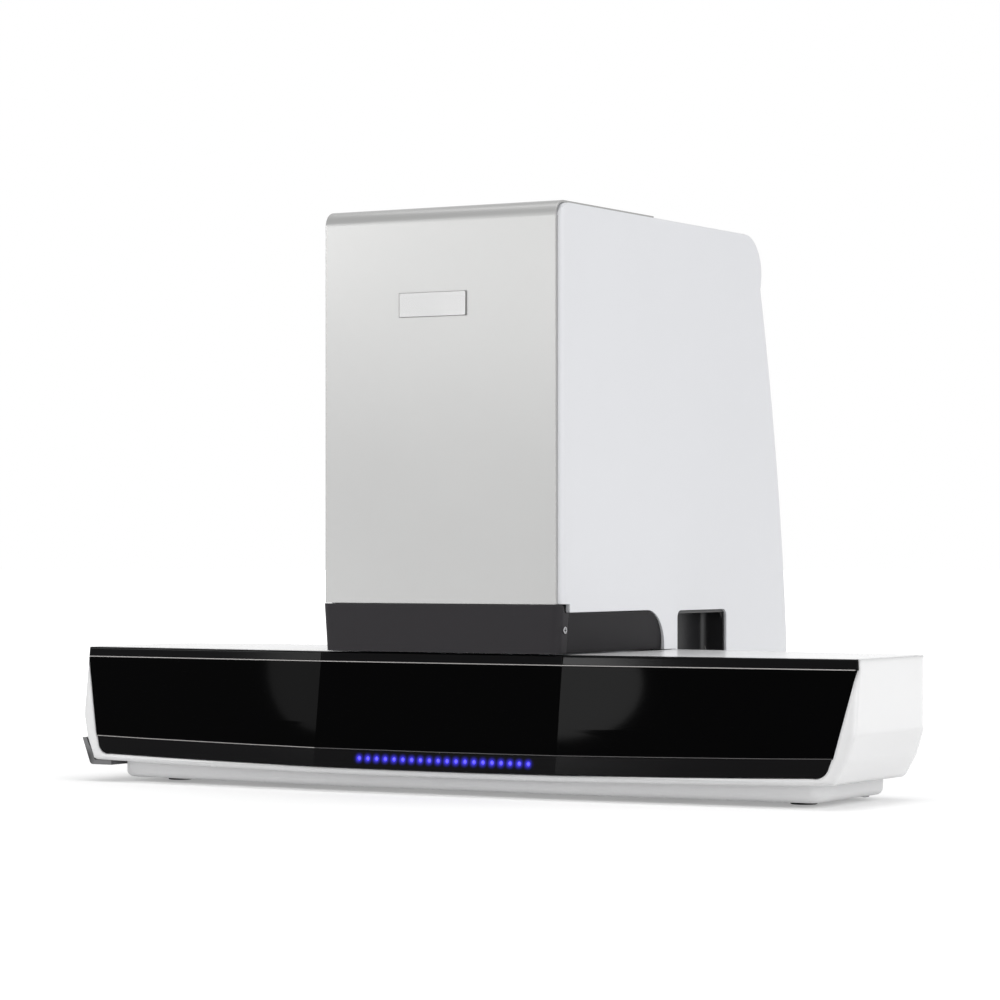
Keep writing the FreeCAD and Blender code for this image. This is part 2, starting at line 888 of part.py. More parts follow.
def make_skirt():
    """Front and side parts of the dark skirt, with their screws."""
    band = skirt_form(0).cut(skirt_form(skirt_wall))
    joint = tower_front_y + skirt_joint_depth
    front = band.common(ahead_of(joint - seam / 2))
    bend = (skirt_top_z - skirt_side_top_z) / 2
    y0 = tower_front_y + skirt_wall
    y1 = y0 + bend
    y2 = y1 + bend
    low = skirt_side_top_z
    reach = bend * diagonal_share
    rest = bend - reach
    high_mid = V(0, y0 + reach, skirt_top_z - rest)
    low_mid = V(0, y2 - reach, low + rest)
    edges = [
        Part.Arc(V(0, y0, skirt_top_z), high_mid, V(0, y1, low + bend)).toShape(),
        Part.Arc(V(0, y1, low + bend), low_mid, V(0, y2, low)).toShape(),
        Part.makeLine(V(0, y2, low), V(0, y2 + overrun, low)),
        Part.makeLine(V(0, y2 + overrun, low), V(0, y2 + overrun, skirt_top_z)),
        Part.makeLine(V(0, y2 + overrun, skirt_top_z), V(0, y0, skirt_top_z)),
    ]
    step = Part.Face(Part.Wire(edges)).extrude(V(tower_width, 0, 0))
    step.translate(V(-tower_half, 0, 0))
    front = front.cut(step)
    sides = band.common(skirt_side_zone(0))
    sides = sides.cut(ahead_of(joint + seam / 2))
    right = sides.common(between_x(0, overall_width))
    head_high_z = skirt_screw_z + skirt_screw_r
    head_x = tower_half - skirt_draft * (skirt_top_z - head_high_z) / (skirt_top_z - skirt_low_z)
    screw_y = joint - skirt_screw_r * 2
    hole = rod(0, screw_y, skirt_screw_z, screw_shank_r, overall_width, AXIS_X)
    screw = rod(head_x - skirt_wall - screw_length / 2, screw_y, skirt_screw_z, screw_shank_r,
                skirt_wall + screw_length / 2, AXIS_X)
    head = rod(head_x, screw_y, skirt_screw_z, skirt_screw_r, skirt_screw_head, AXIS_X)
    screws = join([screw, head])
    front = front.cut([hole, mirror_x(hole)])
    save("skirt_front", front)
    save("skirt_sides", Part.makeCompound([right, mirror_x(right)]))
    return [screws, mirror_x(screws)]


def grip_zone(gap):
    """Space of the grip recess as seen from the right."""
    y0 = tower_front_y + grip_front_depth - gap
    y1 = y0 + grip_length + gap * 2
    pairs = [(y0, grip_low_z - gap), (y1, grip_low_z - gap), (y1, grip_top_z + gap), (y0, grip_top_z + gap)]
    return prism_yz(pairs, 0, overall_width, [grip_corner_r] * len(pairs))


def make_grips():
    """Hollow cups that line the hand grips."""
    x1 = tower_half - tower_wall / 2
    x0 = tower_half - grip_reach
    y0 = tower_front_y + grip_front_depth
    y1 = y0 + grip_length
    cup = grip_zone(-fit_gap / 2).common(between_x(x0, x1))
    inner_y0 = y0 + grip_wall
    inner_y1 = y1 - grip_wall
    deep = x0 + grip_wall
    z = grip_low_z + grip_wall
    points = [
        V(overall_width, inner_y0, z),
        V(overall_width, inner_y1, z),
        V(deep, inner_y1, z),
        V(deep, inner_y0, z),
    ]
    height = grip_top_z - grip_low_z - grip_wall * 2
    hollow = prism(points, [0, 0, grip_corner_r, grip_reach - grip_corner_r], V(0, 0, height))
    cup = cup.cut(hollow)
    flange_x1 = tower_half - tower_wall
    flange = grip_zone(grip_wall).common(between_x(flange_x1 - grip_lip, flange_x1))
    flange = flange.cut(grip_zone(-grip_wall))
    cup = join([cup, flange])
    save("grip_cups", Part.makeCompound([cup, mirror_x(cup)]))


def front_corner_trim():
    """What the tower's square upper front corner loses, so that it fits in the sheet's bend."""
    bend = sheet_bend_r - sheet_thickness + fit_gap
    y = tower_front_y + tower_front_step + bend
    z = tower_top_z - bend
    block = box(-overall_width, overall_width, y - overrun, y, z, z + overrun)
    return block.cut(rod(-overall_width, y, z, bend, overall_width * 2, AXIS_X))


def make_tower():
    """Side, top, rear and brushed front covers, with the bare badge plate."""
    shell = tower_form(0).cut(tower_form(tower_wall))
    x_in = tower_half - side_flange
    sides = shell.common(between_x(x_in, overall_width))
    foot_y = tower_front_y + side_foot_depth
    sides = sides.cut(box(0, overall_width, -overall_depth, foot_y, 0, bar_top_z + fit_gap))
    sides = sides.cut(skirt_side_zone(seam))
    joint = tower_front_y + skirt_joint_depth
    sides = sides.cut(box(0, overall_width, -overall_depth, joint + seam, 0, skirt_top_z + seam))
    sides = sides.cut(grip_zone(fit_gap / 2)).cut(front_corner_trim())
    save("side_cover_right", sides)
    save("side_cover_left", mirror_x(sides))

    x_edge = x_in - seam
    middle = shell.common(between_x(-x_edge, x_edge))
    top_y = tower_front_y + sheet_top_depth
    roof_y = tower_front_y + tower_rear_top_depth - tower_rear_top_r
    roof_low_z = tower_top_z - tower_rear_top_r
    top = middle.common(box(-x_edge, x_edge, top_y - sheet_underlap, roof_y - seam,
                            roof_low_z, overall_height))
    save("top_cover", top)
    foot = middle.common(box(-x_edge, x_edge, roof_y, overall_depth, 0, window_top_z))
    upper_z = window_top_z + seam
    window = [(-window_half, window_low_z), (window_half, window_low_z),
              (window_half, upper_z), (-window_half, upper_z)]
    foot = foot.cut(prism_xz(window, roof_y, overall_depth, [grip_corner_r, grip_corner_r, 0, 0]))
    rear = middle.common(box(-x_edge, x_edge, roof_y, overall_depth, upper_z, overall_height))
    for first_z, count in ((vent_low_z, vent_low_count), (vent_high_z, vent_high_count)):
        for i in range(count):
            z = first_z + vent_slot_pitch * i
            slot = rounded_panel(-vent_slot_half, vent_slot_half, z, z + vent_slot_height,
                                 roof_y, overall_depth, vent_slot_r)
            rear = rear.cut(slot)
    save("rear_cover", Part.makeCompound([foot, rear]))

    y0 = tower_front_y
    z1 = overall_height
    y1 = y0 + sheet_top_depth
    thick = sheet_thickness
    outline = [
        (y0, sheet_low_z), (y0, z1), (y1, z1), (y1, z1 - thick),
        (y0 + thick, z1 - thick), (y0 + thick, sheet_low_z),
    ]
    radii = [0, sheet_bend_r, 0, 0, sheet_bend_r - thick, 0]
    sheet = prism_yz(outline, -sheet_half, sheet_half, radii)
    returns = []
    for x0 in (-sheet_half, sheet_half - thick):
        returns.append(box(x0, x0 + thick, y0 + thick, y0 + thick + sheet_return,
                           sheet_low_z, z1 - sheet_bend_r))
    save("front_cover", join([sheet] + returns))
    badge = rounded_panel(badge_left_x, badge_left_x + badge_width, badge_low_z, badge_low_z + badge_height,
                          tower_front_y - badge_thickness, tower_front_y, badge_corner_r)
    save("badge_plate", badge)


# Rear connectors and fan


def make_rear(skirt_screws):
    """Connector plate with the power inlet, switch, data socket and fan, and all cover screws."""
    y0 = panel_y
    y1 = y0 + panel_thickness
    plate = box(-panel_half, panel_half, y0, y1, chassis_top_z, panel_top_z)
    foot_top_z = chassis_top_z + panel_thickness
    plate = join([plate, box(-panel_half, panel_half, y0 - panel_foot, y0, chassis_top_z, foot_top_z)])
    plate = plate.cut(centred(inlet_x, inlet_z, inlet_width / 2, inlet_height / 2, y0, y1))
    plate = plate.cut(centred(switch_x, inlet_z, switch_width / 2, switch_height / 2, y0, y1))
    plate = plate.cut(centred(socket_x, inlet_z, socket_width / 2, socket_height / 2, y0, y1))
    plate = plate.cut(rod(0, y0, fan_z, fan_bore_r, panel_thickness, AXIS_Y))
    fan_places = []
    inlet_places = []
    for side in (-1, 1):
        fan_places.append((side * fan_screw_pitch / 2, fan_z - fan_screw_pitch / 2))
        fan_places.append((side * fan_screw_pitch / 2, fan_z + fan_screw_pitch / 2))
        inlet_places.append((inlet_x + side * (inlet_width + inlet_flange) / 2, inlet_z))
    places = fan_places + inlet_places
    plate = plate.cut([rod(x, y0, z, screw_shank_r, panel_thickness, AXIS_Y) for x, z in places])
    save("connector_plate", plate)
    save("power_inlet", inlet_body(y1, inlet_places))
    make_switch(y1)
    save("data_socket", socket_body(y1))
    make_fan(y0, fan_places)
    screws = list(skirt_screws)
    for x, z in places:
        start = y1
        if z == inlet_z:
            start = y1 + inlet_flange_depth
        shank_r = screw_shank_r - screw_shank_gap
        shank = rod(x, start - screw_length, z, shank_r, screw_length, AXIS_Y)
        head = rod(x, start, z, screw_r, screw_head, AXIS_Y)
        screws.append(join([shank, head]))
    save("cover_screws", Part.makeCompound(screws))


def inlet_body(y1, places):
    """Power inlet with its flange, its mouth and three pins."""
    half = inlet_width / 2
    rise = inlet_height / 2
    body = centred(inlet_x, inlet_z, half, rise, y1 - inlet_length, y1)
    mouth = y1 + inlet_flange_depth
    rim_x = half + inlet_flange
    rim_z = rise + switch_rim
    rim = rounded_panel(inlet_x - rim_x, inlet_x + rim_x, inlet_z - rim_z, inlet_z + rim_z,
                        y1, mouth, switch_rim)
    cave_x = half - inlet_cavity_inset
    cave_z = rise - inlet_cavity_inset
    cave = rounded_panel(inlet_x - cave_x, inlet_x + cave_x, inlet_z - cave_z, inlet_z + cave_z,
                         mouth - inlet_cavity_depth, mouth, inlet_cavity_inset)
    inlet = join([body, rim]).cut(cave)
    inlet = inlet.cut([rod(x, y1, z, screw_shank_r, inlet_flange_depth, AXIS_Y) for x, z in places])
    pins = []
    for i in (-1, 0, 1):
        z = inlet_z + inlet_pin_r * (1 if i == 0 else -1)
        pins.append(rod(inlet_x + i * inlet_pin_pitch, mouth - inlet_cavity_depth, z, inlet_pin_r / 2,
                        inlet_cavity_depth - inlet_cavity_inset, AXIS_Y))
    return join([inlet] + pins)


def make_switch(y1):
    """Frame of the power switch and its rocker."""
    half = switch_width / 2
    rise = switch_height / 2
    face = y1 + switch_proud
    body = centred(switch_x, inlet_z, half, rise, y1 - switch_length, y1)
    rim_x = half + switch_rim
    rim_z = rise + switch_rim
    rim = rounded_panel(switch_x - rim_x, switch_x + rim_x, inlet_z - rim_z, inlet_z + rim_z,
                        y1, face, switch_rim)
    floor_y = y1 - switch_length + switch_rim
    well = centred(switch_x, inlet_z, half - switch_rim, rise - switch_rim, floor_y, face)
    save("switch_frame", join([body, rim]).cut(well))
    wide = half - switch_rim - fit_gap
    tall = rise - switch_rim - rocker_play
    swing = tall * math.tan(math.radians(rocker_angle / 2))
    pivot_y = face - rocker_pivot_depth
    outline = [
        (face - fit_gap + swing, inlet_z + tall - rocker_edge_step),
        (face, inlet_z),
        (face - fit_gap - swing, inlet_z - tall + rocker_edge_step),
        (pivot_y, inlet_z - tall + rocker_root_step),
        (pivot_y, inlet_z + tall - rocker_root_step),
    ]
    radii = [seam, rocker_bulge_r, seam, seam, seam]
    rocker = prism_yz(outline, switch_x - wide, switch_x + wide, radii)
    pin = rod(switch_x - wide, pivot_y, inlet_z, rocker_pin_r, wide * 2, AXIS_X)
    save("power_rocker", join([rocker, pin]))


def socket_body(y1):
    """Data socket: a thin box with a tongue."""
    half = socket_width / 2
    rise = socket_height / 2
    outer = centred(socket_x, inlet_z, half, rise, y1 - socket_length, y1 + socket_wall)
    back = y1 - socket_length + socket_wall
    cave = centred(socket_x, inlet_z, half - socket_wall, rise - socket_wall, back, y1 + socket_wall)
    low_z = inlet_z + rise - socket_wall - socket_tongue * 2
    tongue_half = half - socket_wall * 2
    tongue = box(socket_x - tongue_half, socket_x + tongue_half, back, y1 - socket_wall,
                 low_z, low_z + socket_tongue)
    return join([outer.cut(cave), tongue])


def make_fan(y0, places):
    """Fan case with its arms and axle, and the bladed rotor."""
    half = fan_size / 2
    case_y = y0 - fan_depth
    case = rounded_panel(-half, half, fan_z - half, fan_z + half, case_y, y0, grip_corner_r)
    case = case.cut(rod(0, case_y, fan_z, fan_bore_r, fan_depth, AXIS_Y))
    pieces = [rod(0, case_y, fan_z, fan_motor_r, fan_spoke, AXIS_Y)]
    for i in range(fan_spoke_count):
        arm = box(0, fan_bore_r + fan_spoke / 2, case_y, case_y + fan_spoke,
                  fan_z - fan_spoke / 2, fan_z + fan_spoke / 2)
        arm.rotate(V(0, case_y, fan_z), AXIS_Y, full_turn / fan_spoke_count * (i + 1 / 2))
        pieces.append(arm)
    pieces.append(rod(0, case_y, fan_z, fan_axle_r, fan_depth - fan_spoke / 2, AXIS_Y))
    case = case.cut([rod(x, case_y, z, screw_shank_r, fan_depth, AXIS_Y) for x, z in places])
    save("fan_frame", join([case] + pieces))

    rotor_y0 = case_y + fan_spoke + seam
    rotor_y1 = y0 - seam
    deep = rotor_y1 - rotor_y0
    rotor = rod(0, rotor_y0, fan_z, fan_hub_r, deep, AXIS_Y)
    blades = []
    tip_z = fan_z + fan_bore_r - fan_tip_gap * 2
    mid_y = (rotor_y0 + rotor_y1) / 2
    blade_half = deep / 2 / math.cos(math.radians(fan_blade_twist)) - fan_blade_thickness
    for i in range(fan_blade_count):
        blade = centred(0, (fan_z + fan_hub_r / 2 + tip_z) / 2, fan_blade_thickness / 2,
                        (tip_z - fan_z - fan_hub_r / 2) / 2, mid_y - blade_half, mid_y + blade_half)
        blade.rotate(V(0, mid_y, fan_z), AXIS_Z, fan_blade_twist)
        blade.rotate(V(0, mid_y, fan_z), AXIS_Y, full_turn / fan_blade_count * i)
        blades.append(blade)
    rotor = join([rotor] + blades)
    save("fan_rotor", rotor.cut(rod(0, rotor_y0, fan_z, fan_axle_r + shaft_gap, deep, AXIS_Y)))


# Stage


def rail_block(x, y, z0, along):
    """Ball block that rides over a rail: along X or Y."""
    wide = block_width / 2
    length = block_length / 2
    slot = rail_width / 2 + block_gap
    z1 = z0 + block_top
    top = z0 + rail_height + block_gap
    low = z0 + rail_height - block_wrap
    if along == "x":
        body = box(x - length, x + length, y - wide, y + wide, low, z1)
        return body.cut(box(x - length, x + length, y - slot, y + slot, low, top))
    body = box(x - wide, x + wide, y - length, y + length, low, z1)
    return body.cut(box(x - slot, x + slot, y - length, y + length, low, top))


def motor(x, y, z, axis):
    """Small square motor in front of a point, with its boss towards the axis."""
    half = motor_size / 2
    body = rounded_box(-half, half, -half, half, -motor_length, 0, motor_edge_r)
    boss = rod(0, 0, 0, motor_boss_r, motor_boss_depth, AXIS_Z)
    whole = join([body, boss])
    whole.Placement = FreeCAD.Placement(V(x, y, z), FreeCAD.Rotation(AXIS_Z, axis))
    return whole


def pulley(x, y0):
    """Toothless belt pulley with two flanges."""
    width = belt_width + pulley_play
    wheel = rod(x, y0, pulley_z, pulley_r - belt_gap, width, AXIS_Y)
    rims = []
    for y in (y0 - pulley_flange, y0 + width):
        rims.append(rod(x, y, pulley_z, pulley_flange_r, pulley_flange, AXIS_Y))
    wheel = join([wheel] + rims)
    return wheel.cut(rod(x, y0 - overrun, pulley_z, pulley_bore_r + shaft_gap, overrun * 2, AXIS_Y))


def loop(radius, y0, width):
    """Solid of the belt's oval outline with round ends."""
    middle = box(pulley_left_x, pulley_right_x, y0, y0 + width, pulley_z - radius, pulley_z + radius)
    ends = [rod(x, y0, pulley_z, radius, width, AXIS_Y) for x in (pulley_left_x, pulley_right_x)]
    return join([middle] + ends)


def make_stage():
    """Carriage, belt drive, tray, slides and their springs."""
    x0 = tray_mid_x - carriage_length / 2
    x1 = tray_mid_x + carriage_length / 2
    bar_half_width = carriage_bar_width / 2
    pieces = []
    for side in (-1, 1):
        y = stage_y + side * rail_offset
        pieces.append(box(x0, x1, y - bar_half_width, y + bar_half_width, carriage_low_z, carriage_top_z))
        for x in (x0 + block_length / 2, x1 - block_length / 2):
            pieces.append(rail_block(x, y, chassis_top_z, "x"))
        for x in (x0, x1 - carriage_post_x):
            pieces.append(box(x, x + carriage_post_x, y - bar_half_width, y + bar_half_width,
                              carriage_top_z, tray_low_z))
    for x in (x0, x1 - carriage_post_x):
        pieces.append(box(x, x + carriage_post_x, stage_y - rail_offset, stage_y + rail_offset,
                          tray_low_z - carriage_cross, tray_low_z))
    belt_y0 = stage_y + belt_offset - belt_width / 2
    upper = pulley_z + pulley_r
    arm_y0 = stage_y - rail_offset
    arm_y1 = belt_y0 + belt_width
    clamp_x0 = tray_mid_x - clamp_length / 2
    clamp_x1 = tray_mid_x + clamp_length / 2
    under_z = upper - clamp_gap
    over_z = upper + belt_thickness + clamp_gap
    pieces.append(box(clamp_x0, clamp_x1, arm_y0, arm_y1, under_z - clamp_thickness, under_z))
    pieces.append(box(clamp_x0, clamp_x1, arm_y0, arm_y1, over_z, over_z + clamp_thickness))
    pieces.append(box(clamp_x0, clamp_x1, arm_y0, belt_y0 - clamp_gap, under_z, over_z))
    save("stage_carriage", join(pieces))

    belt = loop(pulley_r + belt_thickness, belt_y0, belt_width).cut(loop(pulley_r, belt_y0, belt_width))
    save("drive_belt", belt)
    wheel_y = belt_y0 - belt_gap * 2
    save("drive_pulley", pulley(pulley_right_x, wheel_y))
    save("idler_pulley", pulley(pulley_left_x, wheel_y))
    shaft_y = wheel_y - pulley_flange * 2
    motor_y = belt_y0 + belt_width + motor_step
    motor_low = pulley_z - motor_size / 2
    unit = motor(pulley_right_x, motor_y, pulley_z, V(0, -1, 0))
    shaft = rod(pulley_right_x, shaft_y, pulley_z, pulley_bore_r, motor_y - shaft_y, AXIS_Y)
    half = motor_size / 2
    mount = box(pulley_right_x - half, pulley_right_x + half, motor_y, motor_y + motor_length,
                chassis_top_z, motor_low)
    save("stage_motor", join([unit, shaft, mount]))
    post_y = wheel_y + belt_width + pulley_flange * 2 + pulley_play
    post = box(pulley_left_x - pulley_r, pulley_left_x + pulley_r, post_y, post_y + motor_plate * 2,
               chassis_top_z, pulley_z + pulley_r)
    pin = rod(pulley_left_x, shaft_y, pulley_z, pulley_bore_r, post_y - shaft_y, AXIS_Y)
    save("idler_bracket", join([post, pin]))

    y0 = stage_y - tray_depth / 2
    y1 = stage_y + tray_depth / 2
    tray_top = tray_low_z + tray_thickness
    tray = rounded_box(tray_left_x, tray_left_x + tray_length, y0, y1, tray_low_z, tray_top, tray_corner_r)
    slides = []
    springs = []
    pocket_z = tray_top - pocket_depth
    wide = slide_width / 2
    deep = slide_length / 2
    pocket_x = wide + slide_gap
    pocket_y = deep + slide_gap
    open_x = wide - slide_ledge
    open_y = deep - slide_ledge
    for i in range(slide_count):
        x = tray_left_x + tray_left_margin + slide_pitch * (i + 1 / 2)
        tray = tray.cut(box(x - pocket_x, x + pocket_x, stage_y - pocket_y, stage_y + pocket_y,
                            pocket_z, tray_top + overrun))
        tray = tray.cut(box(x - open_x, x + open_x, stage_y - open_y, stage_y + open_y,
                            0, tray_top + overrun))
        tip = stage_y + deep - spring_reach
        root = y1 - spring_thickness * 2
        flat_z = pocket_z + slide_thickness
        slides.append(box(x - wide, x + wide, stage_y - deep, stage_y + deep, pocket_z, flat_z))
        knee = tip + spring_reach / 2
        thick = spring_thickness
        blade = [
            (tip, flat_z), (knee, flat_z), (stage_y + deep, tray_top), (root, tray_top),
            (root, tray_top + thick), (stage_y + deep - thick, tray_top + thick),
            (knee - thick, flat_z + thick), (tip, flat_z + thick),
        ]
        springs.append(prism_yz(blade, x - spring_width / 2, x + spring_width / 2))
    tab = box(tray_left_x - tray_tab_length, tray_left_x + tray_tab_overlap, stage_y - tray_tab_depth / 2,
              stage_y + tray_tab_depth / 2, tray_low_z, tray_low_z + tray_tab_thickness)
    save("slide_tray", join([tray, tab]))
    save("glass_slides", Part.makeCompound(slides))
    save("slide_springs", Part.makeCompound(springs))


def make_drawer():
    """Drawer front in the left end wall, its pull, its rails and the guides they run in."""
    outer = bar_form(0, 0, bar_rim_z, bar_top_z)
    inner = bar_form(drawer_wall, drawer_wall, bar_rim_z - overrun / 2, bar_top_z + overrun / 2)
    front = outer.cut(inner).common(drawer_zone(0))
    rail_x0 = -bar_half + drawer_wall
    rail_top = drawer_rail_low_z + drawer_rail_height
    rails = []
    guides = []
    for side in (-1, 1):
        outer_y = stage_y + side * (drawer_rail_offset + drawer_rail_width / 2)
        inner_y = outer_y - side * drawer_rail_width
        low_y, high_y = min(outer_y, inner_y), max(outer_y, inner_y)
        rail = box(rail_x0, rail_x0 + drawer_rail_length, low_y, high_y, drawer_rail_low_z, rail_top)
        rails.append(rail.common(inner))
        near_y = inner_y - side * fit_gap
        web_y = near_y - side * guide_web
        low_y, high_y = min(near_y, web_y), max(near_y, web_y)
        web = box(guide_left_x, guide_right_x, low_y, high_y, chassis_top_z, rail_top + fit_gap + guide_lip)
        lip_low, lip_high = min(web_y, outer_y), max(web_y, outer_y)
        lips = []
        for z in (drawer_rail_low_z - fit_gap - guide_lip, rail_top + fit_gap):
            lips.append(box(guide_left_x, guide_right_x, lip_low, lip_high, z, z + guide_lip))
        guides.append(join([web] + lips))
    save("drawer_rails", Part.makeCompound(rails))
    save("drawer_guides", Part.makeCompound(guides))
    front = front.removeSplitter()
    save("drawer_front", front)

    top_x = -bar_half + bar_belly_taper
    low_x = -bar_half + bar_low_taper
    under_z = rim_height(low_x + pull_under) - pull_gap
    outline = [
        (top_x - pull_gap, bar_belly_z),
        (low_x - pull_gap, bar_low_z + pull_gap),
        (low_x + pull_gap, under_z),
        (low_x + pull_under, under_z),
        (low_x + pull_under, under_z - pull_thickness),
        (low_x - pull_thickness, under_z - pull_thickness),
        (top_x - pull_thickness - pull_gap, bar_belly_z),
    ]
    radii = [0, 0, 0, 0, 0, bar_corner_r, 0]
    pull_y0 = bar_front_y + wing_sweep + pull_front_step
    pull = prism_xz(outline, pull_y0, stage_y + drawer_front_half, radii)
    save("drawer_pull", pull)


# Optics


def make_light():
    """Flat lamp under the slides, on a leg behind it."""
    y0 = stage_y - lamp_house_half_y
    y1 = stage_y + lamp_house_half_y
    z1 = lamp_house_low_z + lamp_house_height
    house = rounded_box(-lamp_house_half_x, lamp_house_half_x, y0, y1, lamp_house_low_z, z1, tray_corner_r)
    wall = lamp_house_wall
    house = house.cut(box(-lamp_house_half_x + wall, lamp_house_half_x - wall, y0 + wall, y1 - wall,
                          lamp_house_low_z + wall, z1))
    leg_half = lamp_house_half_x - wall
    leg = box(-leg_half, leg_half, y1 - lamp_house_leg, y1, chassis_top_z, lamp_house_low_z)
    foot = box(-leg_half, leg_half, y1 - lamp_house_foot, y1, chassis_top_z, chassis_top_z + wall)
    save("lamp_housing", join([house, leg, foot]))
    edge = wall + diffuser_gap
    plate = box(-lamp_house_half_x + edge, lamp_house_half_x - edge, y0 + edge, y1 - edge,
                lamp_house_low_z + wall, z1 - diffuser_thickness)
    save("lamp_diffuser", plate)


def make_frame():
    """Two side plates, the bridge that the optical head rides on, and all guide rails."""
    front = tower_front_y + frame_arm_front_depth
    column = tower_front_y + frame_column_depth
    rear = tower_front_y + frame_rear_depth
    outline = [
        (column, chassis_top_z), (rear, chassis_top_z), (rear, bridge_z), (front, bridge_z),
        (front, frame_arm_low_z), (column, frame_arm_low_z),
    ]
    side = prism_yz(outline, frame_half, frame_half + frame_plate, [0, 0, 0, frame_arm_top_r, frame_arm_r, 0])
    save("side_frames", Part.makeCompound([side, mirror_x(side)]))
    bridge_front = front + frame_arm_top_r
    half = frame_half + frame_plate
    bridge = box(-half, half, bridge_front, rear, bridge_z, bridge_top_z)
    hole_x = tube_r + bridge_window_gap
    hole_y = hole_x + head_travel
    bridge = bridge.cut(rounded_box(-hole_x, hole_x, stage_y - hole_y, stage_y + hole_y,
                                    bridge_z, bridge_top_z, grip_corner_r))
    save("bridge_plate", join([bridge, screw_bearing()]))
    half_rail = rail_width / 2
    y0 = bridge_front + head_rail_front_step
    rails = []
    for side in (-1, 1):
        x = side * head_rail_offset
        rails.append(box(x - half_rail, x + half_rail, y0, y0 + head_rail_length,
                         bridge_top_z, bridge_top_z + rail_height))
        y = stage_y + side * rail_offset
        rails.append(box(rail_left_x, rail_right_x, y - half_rail, y + half_rail, chassis_top_z, rail_top_z))
    save("linear_rails", Part.makeCompound(rails))


def screw_bearing():
    """Block on the bridge that holds the rear end of the head's screw."""
    screw_z = bridge_top_z + head_screw_z
    y1 = tower_front_y + head_motor_depth - (motor_boss_depth + fit_gap) * 2
    top = screw_z + head_screw_r + motor_plate
    y0 = y1 - nut_width
    half = nut_width / 2
    block = box(head_screw_x - half, head_screw_x + half, y0, y1, bridge_top_z, top)
    return block.cut(rod(head_screw_x, y0, screw_z, head_screw_r + shaft_gap, nut_width, AXIS_Y))


